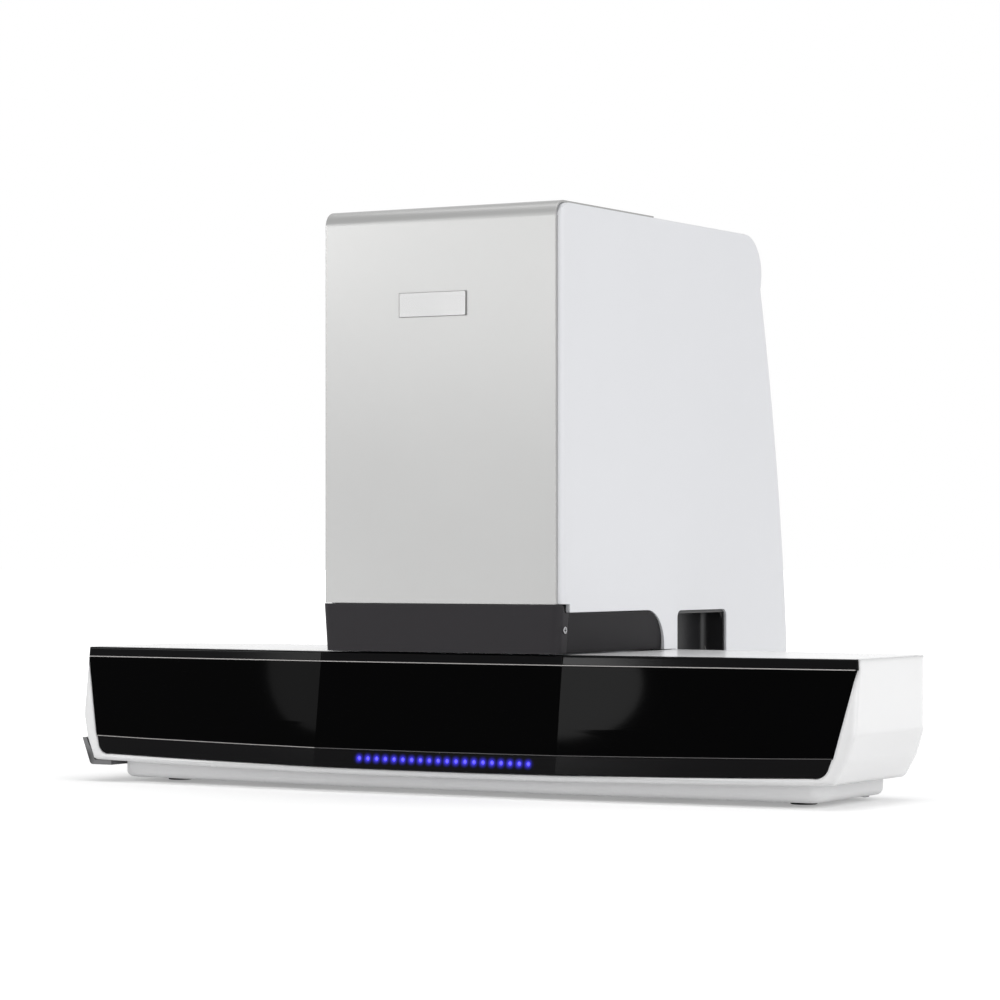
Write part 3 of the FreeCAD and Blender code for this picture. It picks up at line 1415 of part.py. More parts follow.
def make_head():
    """Head that slides front to back, its screw drive, and the focus slide with the optics."""
    y0 = stage_y - head_plate_front
    y1 = stage_y + head_plate_rear
    plate = rounded_box(-head_plate_half, head_plate_half, y0, y1, head_low_z, head_top_z, tray_corner_r)
    tube_hole = tube_r + motor_plate
    plate = plate.cut(rod(0, stage_y, head_low_z, tube_hole, head_plate_thickness, AXIS_Z))
    pieces = [plate]
    for side in (-1, 1):
        for y in (y0 + head_block_step + block_length / 2, y1 - block_length / 2):
            pieces.append(rail_block(side * head_rail_offset, y, bridge_top_z, "y"))
    screw_z = bridge_top_z + head_screw_z
    nut_y = stage_y + column_setback
    nut = box(head_screw_x - nut_width / 2, head_screw_x + nut_width / 2, nut_y, nut_y + nut_length,
              screw_z - nut_width / 2 + fit_gap, head_low_z)
    pieces.append(nut)
    back_y = column_y + column_back
    top_y0 = column_y - rod_r * 2
    half = column_plate_half
    top_z = rod_top_z + top_plate_thickness
    pieces.append(box(-half, half, back_y, back_y + column_back_thickness, head_top_z, top_z))
    pieces.append(box(-half, half, top_y0, back_y, rod_top_z, top_z))
    head = join(pieces)
    head = head.cut(rod(head_screw_x, nut_y - overrun, screw_z, head_screw_r + fit_gap,
                        overrun * 2 + nut_length, AXIS_Y))
    head = head.cut(rod(0, column_y, head_top_z, focus_screw_r + shaft_gap, overall_height, AXIS_Z))
    save("head_carriage", head)
    rods = []
    for side in (-1, 1):
        rods.append(rod(side * rod_offset, column_y, head_top_z, rod_r, rod_length, AXIS_Z))
    save("focus_rods", Part.makeCompound(rods))

    motor_y = tower_front_y + head_motor_depth
    screw_y0 = y0 + head_travel
    gap = motor_boss_depth + fit_gap
    save("head_screw", rod(head_screw_x, screw_y0, screw_z, head_screw_r, motor_y - gap - screw_y0, AXIS_Y))
    unit = motor(head_screw_x, motor_y, screw_z, V(0, -1, 0))
    low = screw_z - motor_size / 2
    half = motor_size / 2
    block = box(head_screw_x - half, head_screw_x + half, motor_y, motor_y + motor_length,
                bridge_top_z, low + motor_plate)
    unit = unit.cut(box(-overall_width, overall_width, -overall_depth, overall_depth, 0, bridge_top_z))
    save("head_motor", join([unit, block]))

    z0 = focus_block_low_z
    z1 = z0 + focus_block_height
    wide = column_plate_half
    deep = focus_block_half_y
    block = box(-wide, wide, column_y - deep, column_y + deep, z0, z1)
    ring_r = tube_r + tube_ring_wall
    ring = rod(0, stage_y, z0, ring_r, focus_block_height, AXIS_Z)
    arm = box(-tube_r, tube_r, stage_y, column_y, z0, z1)
    slide = join([block, ring, arm])
    slide = slide.cut(rod(0, stage_y, z0, tube_r, focus_block_height, AXIS_Z))
    holes = []
    for x in (-rod_offset, rod_offset):
        holes.append(rod(x, column_y, z0, rod_r + shaft_gap, focus_block_height, AXIS_Z))
    holes.append(rod(0, column_y, z0, focus_screw_r + fit_gap, focus_block_height, AXIS_Z))
    save("focus_slide", slide.cut(holes))

    save("focus_screw", rod(0, column_y, head_top_z + screw_end_gap, focus_screw_r,
                            top_z - screw_end_gap * 2 - head_top_z, AXIS_Z))
    unit_top = top_z + motor_length
    unit = motor(0, column_y, unit_top, AXIS_Z)
    unit = unit.common(box(-overall_width, overall_width, -overall_depth, overall_depth, 0, unit_top))
    save("focus_motor", unit)

    tube_z = tube_low_z + tube_nose_length
    tube = rod(0, stage_y, tube_z, tube_r, tube_high_z - tube_z, AXIS_Z)
    nose = Part.makeCone(tube_nose_r, tube_r, tube_nose_length, V(0, stage_y, tube_low_z), AXIS_Z)
    save("optical_tube", join([tube, nose]))
    cone = Part.makeCone(objective_tip_r, objective_r, objective_cone, V(0, stage_y, objective_low_z), AXIS_Z)
    barrel_z = objective_low_z + objective_cone
    barrel = rod(0, stage_y, barrel_z, objective_r, tube_low_z - barrel_z, AXIS_Z)
    grip = rod(0, stage_y, tube_low_z - objective_grip, tube_nose_r, objective_grip / 2, AXIS_Z)
    lens = rod(0, stage_y, objective_low_z, objective_lens_r, tube_rim, AXIS_Z)
    save("objective", join([cone, barrel, grip]).cut(lens))
    half = camera_size / 2
    camera_z = tube_high_z + camera_height
    camera = rounded_box(-half, half, stage_y - half, stage_y + half, tube_high_z, camera_z, camera_edge_r)
    pitch = camera_height / (camera_fin_count + 1)
    core = half - camera_fin_depth
    for i in range(camera_fin_count):
        z0 = tube_high_z + pitch * (i + 1)
        z1 = z0 + pitch * camera_fin_share
        ring = box(-half, half, stage_y - half, stage_y + half, z0, z1)
        ring = ring.cut(box(-core, core, stage_y - core, stage_y + core, z0, z1))
        camera = camera.cut(ring)
    save("camera", camera)


# Electronics


def make_electronics():
    """Power supply on the chassis and the control board in the right wing."""
    y0 = tower_front_y + supply_front_depth
    supply = rounded_box(supply_x - supply_width / 2, supply_x + supply_width / 2, y0, y0 + supply_depth,
                         chassis_top_z, chassis_top_z + supply_height, motor_edge_r)
    save("power_supply", supply)
    y0 = tower_front_y + board_front_depth
    x0 = board_left_x
    z0 = chassis_top_z + board_stand
    board = box(x0, x0 + board_length, y0, y0 + board_depth, z0, z0 + board_thickness)
    parts = [board]
    for x in (x0 + board_stand, x0 + board_length - board_stand):
        for y in (y0 + board_stand, y0 + board_depth - board_stand):
            parts.append(rod(x, y, chassis_top_z, board_stand / 2, board_stand, AXIS_Z))
    top = z0 + board_thickness
    for column, row in chip_places:
        x = x0 + chip_size * column
        y = y0 + chip_size * row
        parts.append(box(x, x + chip_size, y, y + chip_size, top, top + chip_height))
    save("control_board", join(parts))


os.makedirs("parts", exist_ok=True)
make_bar()
make_base()
skirt_screws = make_skirt()
make_grips()
make_tower()
make_rear(skirt_screws)
make_stage()
make_drawer()
make_light()
make_frame()
make_head()
make_electronics()
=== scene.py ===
"""Looks of the digital slide scanner, built round its packed construction model. Metres."""
import json
import math

import bmesh
import bpy
from mathutils import Matrix, Vector


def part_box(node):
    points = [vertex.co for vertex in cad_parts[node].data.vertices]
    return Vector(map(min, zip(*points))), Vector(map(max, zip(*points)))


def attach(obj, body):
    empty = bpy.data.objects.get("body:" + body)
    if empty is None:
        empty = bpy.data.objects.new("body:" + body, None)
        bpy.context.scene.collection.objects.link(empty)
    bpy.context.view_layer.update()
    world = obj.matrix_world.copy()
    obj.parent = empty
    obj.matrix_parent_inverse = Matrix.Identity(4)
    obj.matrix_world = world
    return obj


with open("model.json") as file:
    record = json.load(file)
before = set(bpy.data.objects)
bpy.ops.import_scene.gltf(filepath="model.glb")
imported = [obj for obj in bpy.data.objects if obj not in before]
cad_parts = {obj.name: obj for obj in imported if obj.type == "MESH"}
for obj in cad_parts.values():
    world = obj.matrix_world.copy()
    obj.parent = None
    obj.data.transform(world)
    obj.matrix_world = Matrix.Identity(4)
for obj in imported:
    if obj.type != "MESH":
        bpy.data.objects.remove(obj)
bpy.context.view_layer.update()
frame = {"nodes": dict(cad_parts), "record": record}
nodes = frame["nodes"]
scene = bpy.context.scene

# Camera, as fitted to the photograph's straight edges: level, 30 degrees round to the right
camera = bpy.data.objects.new("camera", bpy.data.cameras.new("camera"))
scene.collection.objects.link(camera)
camera.location = (1.2207, -2.2022, 0.1656)
camera.rotation_euler = (math.radians(90), 0, math.radians(30.06))
camera.data.sensor_width = 36
camera.data.lens = 124.76
camera.data.shift_y = 0.0526
camera.data.clip_end = 100
scene.camera = camera
scene.view_settings.view_transform = "Standard"


# Node helpers

def adder(tree):
    """Empties a node tree and gives the function that adds nodes to it, each with its values or links."""
    tree.nodes.clear()

    def add(kind, values=None, **props):
        node = tree.nodes.new(kind)
        for key, value in props.items():
            setattr(node, key, value)
        for key, value in (values or {}).items():
            if isinstance(value, bpy.types.NodeSocket):
                tree.links.new(value, node.inputs[key])
            else:
                node.inputs[key].default_value = value
        return node
    return add


def new_material(name):
    """New node material and the function that adds nodes to it."""
    material = bpy.data.materials.new(name)
    material.use_nodes = True
    return material, adder(material.node_tree)


def calc(add, operation, *values):
    """One step of arithmetic on single values."""
    return add("ShaderNodeMath", dict(enumerate(values)), operation=operation).outputs[0]


def ramp(add, value, start, end, low=0.0, high=1.0):
    """Straight ramp that is low where the value is at start and high at end."""
    ends = {"From Min": start, "From Max": end, "To Min": low, "To Max": high}
    return add("ShaderNodeMapRange", {"Value": value, **ends}).outputs[0]


def blend(add, factor, first, second):
    """Mix of two colours."""
    return add("ShaderNodeMix", {"Factor": factor, 6: first, 7: second}, data_type="RGBA").outputs[2]


def noise(add, place, scale, **values):
    """Noise between 0 and 1."""
    return add("ShaderNodeTexNoise", {"Vector": place, "Scale": scale, **values}).outputs["Fac"]


def axes_of(add, place):
    """The three coordinates of a point."""
    return add("ShaderNodeSeparateXYZ", {0: place}).outputs


def length_of(add, dx, dz):
    """Length of a step in a plane."""
    step = add("ShaderNodeCombineXYZ", {0: dx, 1: dz}).outputs[0]
    return add("ShaderNodeVectorMath", {0: step}, operation="LENGTH").outputs["Value"]


def object_place(add):
    """Coordinates that are fixed to the object."""
    return add("ShaderNodeTexCoord").outputs["Object"]


# Finishes

def rgba(color, gain=1.0):
    """Opaque colour, made lighter or darker."""
    return (*(min(c * gain, 1) for c in color), 1)


def finish(name, color, rough, metal=0.0, coat=0.0, coat_rough=0.05, spec=0.5, edge=0.0006, wear=0.0,
           grain=900.0, grain_depth=0.00002, stretch=(1, 1, 1), tint=0.02, patch=14.0, rough_var=0.04,
           aniso=0.0, glow=None, extra=None, transmission=0.0):
    """Procedural finish: grain in the surface, uneven tone and gloss, soft and slightly worn edges.

    Edge is the radius of the rounded look. Positive wear rubs edges lighter, negative wear darker.
    """
    material, add = new_material(name)
    place = object_place(add)
    scaled = add("ShaderNodeMapping", {"Vector": place, "Scale": stretch}).outputs[0]
    fine = noise(add, scaled, grain, Detail=4.0, Roughness=0.6)
    broad = noise(add, place, patch, Detail=5.0)
    tone = blend(add, broad, rgba(color, 1 - tint), rgba(color, 1 + tint))
    if wear:
        soft = add("ShaderNodeBevel", {"Radius": edge * 1.5}, samples=4).outputs[0]
        plain = add("ShaderNodeNewGeometry").outputs["Normal"]
        dot = add("ShaderNodeVectorMath", {0: soft, 1: plain}, operation="DOT_PRODUCT").outputs["Value"]
        rubbed = calc(add, "MULTIPLY", ramp(add, dot, 0.995, 0.80), ramp(add, fine, 0.35, 0.65))
        amount = calc(add, "MULTIPLY", rubbed, abs(wear))
        worn = rgba(color, 0.55) if wear < 0 else rgba([c * 0.5 + 0.25 for c in color])
        tone = blend(add, amount, tone, worn)
    if extra:
        tone = extra(add, place, tone)
    gloss = ramp(add, broad, 0.0, 1.0, max(rough - rough_var, 0.01), rough + rough_var)
    normal = add("ShaderNodeBevel", {"Radius": edge}, samples=6).outputs[0] if edge else None
    under_bump = {"Normal": normal} if normal else {}
    bump = add("ShaderNodeBump", {"Height": fine, "Strength": 1.0, "Distance": grain_depth, **under_bump})
    inputs = {"Base Color": tone, "Roughness": gloss, "Metallic": metal, "Normal": bump.outputs[0],
              "Specular IOR Level": spec, "Coat Weight": coat, "Coat Roughness": coat_rough,
              "Anisotropic": aniso, "Transmission Weight": transmission}
    if normal and coat:
        inputs["Coat Normal"] = normal
    if glow:
        inputs.update(glow(add, place))
    shader = add("ShaderNodeBsdfPrincipled", inputs)
    add("ShaderNodeOutputMaterial", {"Surface": shader.outputs[0]})
    return material


# Row of indicator lamps
LED_PITCH = 0.00705
LED_COUNT = 20
LED_MID_X = 0.008
LED_Z = 0.024
LED_CORE, LED_SPREAD = 0.0011, 0.0049
LED_ROW_HALF, LED_ROW_END = 0.069, 0.0715
# Centre of the painted shade round the drawer pull's bend
BEND_SHADE_X, BEND_SHADE_Z = -0.3020, 0.0165


def led_halo(add, place):
    """Blue light that spreads in the smoked strip round each lamp."""
    x, _, z = axes_of(add, place)
    row_start = LED_MID_X - LED_PITCH * (LED_COUNT - 1) / 2
    along = calc(add, "ADD", x, -row_start + LED_PITCH / 2)
    cell = calc(add, "FRACT", calc(add, "DIVIDE", along, LED_PITCH))
    dx = calc(add, "MULTIPLY", calc(add, "SUBTRACT", cell, 0.5), LED_PITCH)
    dz = calc(add, "SUBTRACT", z, LED_Z)
    near = ramp(add, length_of(add, dx, dz), LED_CORE, LED_SPREAD, 1.0, 0.0)
    off_middle = calc(add, "ABSOLUTE", calc(add, "SUBTRACT", x, LED_MID_X))
    in_row = ramp(add, off_middle, LED_ROW_HALF, LED_ROW_END, 1.0, 0.0)
    strength = calc(add, "MULTIPLY", calc(add, "POWER", near, 2.6), in_row)
    return {"Emission Color": (0.065, 0.055, 0.95, 1), "Emission Strength": strength}


def lit(color, strength):
    """Even glow of one colour."""
    return lambda add, place: {"Emission Color": (*color, 1), "Emission Strength": strength}


def board_tracks(add, place, tone):
    """Copper tracks under the green lacquer."""
    brick = add("ShaderNodeTexBrick", {
        "Vector": place, "Scale": 190.0, "Mortar Size": 0.03,
        "Color1": (0, 0, 0, 1), "Color2": (0.15, 0.15, 0.15, 1), "Mortar": (1, 1, 1, 1)})
    return blend(add, brick.outputs["Color"], tone, (0.06, 0.26, 0.13, 1))


def painted_bend_shade(add, place, tone):
    """Painted shade on the pull: its colour turns dark round the place where it is bent."""
    x, _, z = axes_of(add, place)
    far = length_of(add, calc(add, "SUBTRACT", x, BEND_SHADE_X), calc(add, "SUBTRACT", z, BEND_SHADE_Z))
    near = ramp(add, far, 0.0020, 0.0085, 0.93, 0.0)
    return blend(add, near, tone, (0.006, 0.006, 0.006, 1))


FINISHES = {
    # Covers
    "white_gloss": dict(color=(0.87, 0.87, 0.875), rough=0.26, coat=0.30, coat_rough=0.10, edge=0.0045,
                        grain=420, grain_depth=0.000012, tint=0.012, wear=-0.10),
    "white_paint": dict(color=(0.80, 0.808, 0.835), rough=0.38, coat=0.12, coat_rough=0.2, edge=0.0007,
                        grain=1500, tint=0.012, wear=-0.12),
    "brushed_sheet": dict(color=(0.385, 0.385, 0.382), rough=0.35, metal=1.0, edge=0.0008, grain=60,
                          grain_depth=0.000012, stretch=(1.2, 1.0, 46.0), rough_var=0.012,
                          aniso=0.5, wear=0.10),
    "pan_white": dict(color=(0.90, 0.90, 0.905), rough=0.42, edge=0.0009, grain=1900,
                      grain_depth=0.00003, tint=0.015, wear=-0.1),
    "dark_matte": dict(color=(0.033, 0.031, 0.034), rough=0.50, spec=0.10, edge=0.0007, grain=2600,
                       grain_depth=0.00006, tint=0.06, wear=0.35),
    # Darker copy of dark_matte, painted shade for the skirt's sides
    "dark_matte_shaded": dict(color=(0.017, 0.016, 0.018), rough=0.50, spec=0.08, edge=0.0007, grain=2600,
                      grain_depth=0.00006, tint=0.06, wear=0.35),
    "grip_black": dict(color=(0.012, 0.012, 0.0135), rough=0.36, spec=0.4, grain=1800,
                       grain_depth=0.00003, tint=0.08, wear=0.3),
    "badge": dict(color=(0.44, 0.44, 0.44), rough=0.26, metal=1.0, edge=0.0003, grain=40,
                  grain_depth=0.00001, stretch=(1.5, 1, 60), aniso=0.4, wear=0.2),
    "foot_rubber": dict(color=(0.022, 0.022, 0.023), rough=0.85, spec=0.25, edge=0.0005, grain=1300,
                        grain_depth=0.0001, tint=0.15, wear=0.3),
    # The pull's finish carries painted shade round its bend
    "pull_grey": dict(color=(0.13, 0.13, 0.134), rough=0.34, metal=0.6, coat=0.2, grain_depth=0.00001,
                      tint=0.04, wear=0.5, extra=painted_bend_shade),
    # Glass front and lamps
    "black_glass": dict(color=(0.0009, 0.0009, 0.0010), rough=0.035, spec=0.016, edge=0.0007,
                        grain=35, grain_depth=0.000002, tint=0.1, rough_var=0.008),
    "black_gloss": dict(color=(0.003, 0.003, 0.0035), rough=0.10, spec=0.06, grain=300,
                        grain_depth=0.000004, tint=0.1, rough_var=0.02),
    "smoked_strip": dict(color=(0.0045, 0.0043, 0.0048), rough=0.16, spec=0.05, edge=0.0008, grain=500,
                         grain_depth=0.000006, tint=0.1, glow=led_halo),
    "lamp_blue": dict(color=(0.06, 0.05, 0.8), rough=0.15, edge=0, tint=0.05,
                      glow=lit((0.095, 0.075, 1.0), 1.2)),
    "diffuser": dict(color=(0.88, 0.88, 0.86), rough=0.55, edge=0.0003, grain=1800, tint=0.01,
                     glow=lit((1.0, 0.97, 0.90), 0.35)),
    # Metal parts
    "machined": dict(color=(0.60, 0.61, 0.63), rough=0.34, metal=1.0, edge=0.0004, grain=120,
                     grain_depth=0.00001, stretch=(1, 24, 24), tint=0.03, aniso=0.4, wear=0.2),
    "dark_anodised": dict(color=(0.035, 0.035, 0.038), rough=0.38, metal=0.85, edge=0.0004, grain=1600,
                          grain_depth=0.00003, tint=0.08, wear=0.4),
    "ground_steel": dict(color=(0.58, 0.585, 0.60), rough=0.20, metal=1.0, edge=0.0003, grain=90,
                         grain_depth=0.000006, stretch=(1, 30, 30), tint=0.03, aniso=0.3),
    "bright_screw": dict(color=(0.30, 0.30, 0.31), rough=0.26, metal=1.0, edge=0.0002, grain=1500,
                         tint=0.05, wear=0.2),
    "tray_grey": dict(color=(0.42, 0.43, 0.45), rough=0.46, metal=1.0, edge=0.0004, grain=2400,
                      grain_depth=0.00003, tint=0.04, wear=0.3),
    "spring_steel": dict(color=(0.55, 0.55, 0.56), rough=0.25, metal=1.0, edge=0.0001, grain=200,
                         stretch=(1, 20, 1), tint=0.04),
    "zinc": dict(color=(0.55, 0.56, 0.58), rough=0.36, metal=1.0, edge=0.0003, grain=160,
                 grain_depth=0.00001, tint=0.09, patch=160, rough_var=0.1),
    "bare_plate": dict(color=(0.50, 0.50, 0.51), rough=0.38, metal=1.0, edge=0.0002, grain=50,
                       grain_depth=0.000008, stretch=(60, 1.5, 1), tint=0.04, aniso=0.4, wear=0.2),
    # Drive, optics and electronics
    "belt_rubber": dict(color=(0.015, 0.015, 0.016), rough=0.7, spec=0.3, edge=0.0002, grain=2200,
                        grain_depth=0.00006, tint=0.1),
    "motor_black": dict(color=(0.03, 0.03, 0.032), rough=0.35, coat=0.3, edge=0.0005, grain=1400,
                        grain_depth=0.00003, tint=0.06, wear=0.3),
    "lens_glass": dict(color=(0.66, 0.66, 0.68), rough=0.16, metal=1.0, edge=0.0003, grain=60,
                       grain_depth=0.000006, stretch=(1, 1, 40), tint=0.03),
    "board_green": dict(color=(0.012, 0.10, 0.045), rough=0.3, coat=0.4, edge=0.0002, tint=0.1,
                        extra=board_tracks),
    "plate_grey": dict(color=(0.34, 0.35, 0.37), rough=0.45, edge=0.0004, grain=1700,
                       grain_depth=0.00005, tint=0.04, wear=0.4),
    "switch_black": dict(color=(0.012, 0.012, 0.013), rough=0.26, edge=0.0004, grain=1200,
                         grain_depth=0.00001, tint=0.08, wear=0.2),
    # Slides
    "slide_glass": dict(color=(0.90, 0.96, 0.95), rough=0.03, edge=0.0001, grain=40,
                        grain_depth=0.000001, tint=0.01, rough_var=0.01, transmission=1.0),
    "frosted": dict(color=(0.86, 0.87, 0.86), rough=0.75, spec=0.3, edge=0, grain=3000,
                    grain_depth=0.00001, tint=0.03, patch=90),
    "stained": dict(color=(0.62, 0.16, 0.36), rough=0.5, edge=0, grain=1400, grain_depth=0.00001,
                    tint=0.35, patch=420),
    # Trim, painted highlight lines, and painted shade for hollows
    "bright_painted_highlight": dict(color=(0.52, 0.50, 0.49), rough=0.30, spec=0.6, edge=0, grain=700,
                       grain_depth=0.000004, tint=0.08, patch=9),
    # Dim grey: painted highlight on the glass's lower seam and in the grips, and the badge rim
    "dim_painted_highlight_and_rim": dict(color=(0.13, 0.125, 0.125), rough=0.28, edge=0, grain=700,
                     grain_depth=0.000004, tint=0.15, patch=6),
    # Near black for hollows: painted shade in screw recesses, hex sockets and vent slots
    "hollow_painted_shade": dict(color=(0.012, 0.012, 0.013), rough=0.8, spec=0.1, edge=0, tint=0.1),
}
MATS = {name: finish(name, **row) for name, row in FINISHES.items()}

# Painted shade: the skirt's sides take a darker copy of the dark matte finish on its front
SHADED_LOOK = {"skirt_sides": "dark_matte_shaded"}

for row in frame["record"]["subparts"]:
    slots = nodes[row["node"]].data.materials
    if not len(slots):
        slots.append(None)
    for i in range(len(slots)):
        slots[i] = MATS[SHADED_LOOK.get(row["node"], row["material_slot"])]


# Detail pieces: helpers

def add_piece(name, data, finish_name, body="root"):
    """Puts a mesh or curve into the scene with its finish, on the body that carries it."""
    piece = bpy.data.objects.new(name, data)
    scene.collection.objects.link(piece)
    data.materials.append(MATS[finish_name])
    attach(piece, body)


def add_mesh(name, bm, finish_name, body="root"):
    """Turns a bmesh into a flat-shaded piece with its faces outwards."""
    bmesh.ops.recalc_face_normals(bm, faces=bm.faces)
    data = bpy.data.meshes.new(name)
    bm.to_mesh(data)
    bm.free()
    add_piece(name, data, finish_name, body)


def add_line(name, runs, radius, finish_name, closed=False):
    """Thin round trim along one or more runs of points."""
    data = bpy.data.curves.new(name, "CURVE")
    data.dimensions = "3D"
    data.bevel_depth = radius
    data.bevel_resolution = 3
    data.use_fill_caps = True
    for points in runs:
        run = data.splines.new("POLY")
        run.points.add(len(points) - 1)
        for point, co in zip(run.points, points):
            point.co = (*co, 1)
        run.use_cyclic_u = closed
    add_piece(name, data, finish_name)


def circle(radius, count, x=0.0, y=0.0):
    """Points of a circle in the plane."""
    turns = [math.tau * i / count for i in range(count)]
    return [(x + radius * math.cos(a), y + radius * math.sin(a)) for a in turns]


def stack(bm, *levels):
    """Closed body through levels, each a ring of (x, y) points and its height."""
    rings = [[bm.verts.new((x, y, z)) for x, y in points] for points, z in levels]
    for one, other in zip(rings, rings[1:]):
        for i in range(len(one)):
            j = (i + 1) % len(one)
            bm.faces.new((one[i], one[j], other[j], other[i]))
    bm.faces.new(rings[-1])
    bm.faces.new(rings[0][::-1])


def slab(bm, x0, x1, y0, y1, z0, z1, r, steps=5):
    """Flat plate with round corners, lying in the XY plane."""
    ring = []
    corners = ((x1 - r, y1 - r, 0), (x0 + r, y1 - r, 90), (x0 + r, y0 + r, 180), (x1 - r, y0 + r, 270))
    for cx, cy, start in corners:
        for i in range(steps + 1):
            a = math.radians(start + 90 * i / steps)
            ring.append((cx + r * math.cos(a), cy + r * math.sin(a)))
    stack(bm, (ring, z0), (ring, z1))


def islands(node):
    """Lowest and highest corner of each separate solid in a node."""
    bm = bmesh.new()
    bm.from_mesh(nodes[node].data)
    bmesh.ops.remove_doubles(bm, verts=bm.verts, dist=1e-6)
    left = set(bm.verts)
    found = []
    while left:
        waiting = [left.pop()]
        group = list(waiting)
        while waiting:
            for edge in waiting.pop().link_edges:
                for vert in edge.verts:
                    if vert in left:
                        left.remove(vert)
                        waiting.append(vert)
                        group.append(vert)
        found.append(tuple(Vector([pick(v.co[i] for v in group) for i in range(3)]) for pick in (min, max)))
    bm.free()
    return sorted(found, key=lambda box: tuple(round(c, 4) for c in box[0]))


# Painted highlights: thin grey tubes for the shine along the polished edges of the glass and of the strip
# above it
CREASE_X = 0.096
TOP_CREASE, TOP_END = (CREASE_X, -0.1759, 0.0901), (0.3044, -0.1640, 0.0901)
LOW_CREASE, LOW_MID = (CREASE_X, -0.1842, 0.0302), (0.0, -0.1844, 0.0299)
LOW_WING = [(0.2918, -0.1724, 0.0331), (0.2450, -0.1752, 0.0321), (0.1520, -0.1810, 0.0308), LOW_CREASE]


def mirrored(point):
    """The same point on the left."""
    return (-point[0], *point[1:])


low_left = [mirrored(p) for p in LOW_WING]
add_line("glass_top_highlight_line", [[mirrored(TOP_END), mirrored(TOP_CREASE), TOP_CREASE, TOP_END]],
         0.00030, "bright_painted_highlight")
add_line("glass_low_left_highlight_line", [low_left], 0.00022, "bright_painted_highlight")
add_line("glass_low_highlight_line", [[mirrored(LOW_CREASE), LOW_MID, LOW_CREASE], LOW_WING[::-1]],
         0.00018, "dim_painted_highlight_and_rim")

# Fine rim round the bare badge plate
lo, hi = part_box("badge_plate")
badge_corners = [(x, lo.y, z) for x, z in ((lo.x, lo.z), (hi.x, lo.z), (hi.x, hi.z), (lo.x, hi.z))]
add_line("badge_rim", [badge_corners], 0.00022, "dim_painted_highlight_and_rim", closed=True)

# Slides: frosted ends, specimens and cover slips
END_INSET, END_LENGTH = 0.0006, 0.0200
END_HEIGHT, SPECIMEN_HEIGHT = 0.00004, 0.00003
SPECIMEN_Y, SPECIMEN_POINTS = 0.0460, 48
SLIP_HALF_X, SLIP_HALF_Y = 0.0120, 0.0215
SLIP_LOW, SLIP_TOP = 0.00006, 0.00022


def specimen_outline(cx, cy, k):
    """Uneven outline of a thin cut of tissue, a different one for each slide."""
    outline = []
    for i in range(SPECIMEN_POINTS):
        a = math.tau * i / SPECIMEN_POINTS
        swell = 1 + 0.16 * math.sin(2 * a + k) + 0.09 * math.sin(5 * a + 2.1 * k) + 0.05 * math.sin(9 * a - k)
        outline.append((cx + 0.0062 * swell * math.cos(a), cy + (0.0098 - 0.0004 * k) * swell * math.sin(a)))
    return outline


ends, specimens, slips = bmesh.new(), bmesh.new(), bmesh.new()
for k, (lo, hi) in enumerate(islands("glass_slides")):
    top = hi.z
    cx, cy = (lo.x + hi.x) / 2, lo.y + SPECIMEN_Y
    slab(ends, lo.x + END_INSET, hi.x - END_INSET, lo.y + END_INSET, lo.y + END_LENGTH,
         top, top + END_HEIGHT, 0.0005)
    outline = specimen_outline(cx, cy, k)
    stack(specimens, (outline, top), (outline, top + SPECIMEN_HEIGHT))
    slab(slips, cx - SLIP_HALF_X, cx + SLIP_HALF_X, cy - SLIP_HALF_Y, cy + SLIP_HALF_Y,
         top + SLIP_LOW, top + SLIP_TOP, 0.0003)
add_mesh("slide_ends", ends, "frosted", "tray")
add_mesh("specimens", specimens, "stained", "tray")
add_mesh("cover_slips", slips, "slide_glass", "tray")

# Cross recesses of the cover screws: two thin dark bars in each head, painted shade for the hollows
TOWER_SIDE_X = 0.08
BAR_LENGTH, BAR_WIDTH, BAR_DEPTH = 0.60, 0.20, 0.00012
marks = bmesh.new()
for lo, hi in islands("cover_screws"):
    size = hi - lo
    mid = (lo + hi) / 2
    axis = 0 if abs(mid.x) > TOWER_SIDE_X else 1
    across = 1 - axis
    at = Vector(mid)
    at[axis] = (hi if mid[axis] > 0 else lo)[axis]
    length = min(size[across], size.z) * BAR_LENGTH
    for long_way, short_way in ((across, 2), (2, across)):
        bar = Vector()
        bar[long_way], bar[short_way], bar[axis] = length, length * BAR_WIDTH, BAR_DEPTH
        bmesh.ops.create_cube(marks, size=1, matrix=Matrix.Translation(at) @ Matrix.Diagonal((*bar, 1)))
add_mesh("screw_recess_shade", marks, "hollow_painted_shade")

# Painted highlight in the hand grips: a thin grey rib along a quarter of an ellipse on each cup's rear wall,
# for the curved light line on the cup's edge
RIB_X, RIB_Y, RIB_Z = 0.0768, 0.0708, 0.113
RIB_WIDTH, RIB_HEIGHT = 0.0140, 0.032
quarter = [math.radians(a) for a in range(0, 91, 9)]
arc = [(RIB_X + RIB_WIDTH * (1 - math.cos(a)), RIB_Y, RIB_Z - RIB_HEIGHT * math.sin(a)) for a in quarter]
ribs = [[mirrored(p) for p in arc], arc]
add_line("grip_highlight_ribs", ribs, 0.0004, "dim_painted_highlight_and_rim")

# Underside: vent slots as dark patches of painted shade, a bare rating plate, and screws with painted shade
# in their hex sockets
VENT_X, VENT_Y, VENT_PITCH, VENT_COUNT = 0.150, -0.148, 0.0085, 9
VENT_HALF_LENGTH, VENT_HALF_WIDTH = 0.026, 0.0016
SCREW_HEAD = ((0.0031, 0.0001), (0.0031, -0.0006), (0.0026, -0.0010), (0.0016, -0.0011))
SCREW_SPOTS = ((-0.262, -0.105), (-0.205, -0.140), (-0.070, -0.142), (0.070, -0.142), (0.205, -0.140),
               (0.262, -0.105), (-0.270, -0.072), (0.270, -0.072), (-0.028, 0.166), (0.028, 0.166))
SOCKET_R, SOCKET_LOW, SOCKET_TOP = 0.0015, -0.00116, -0.0009

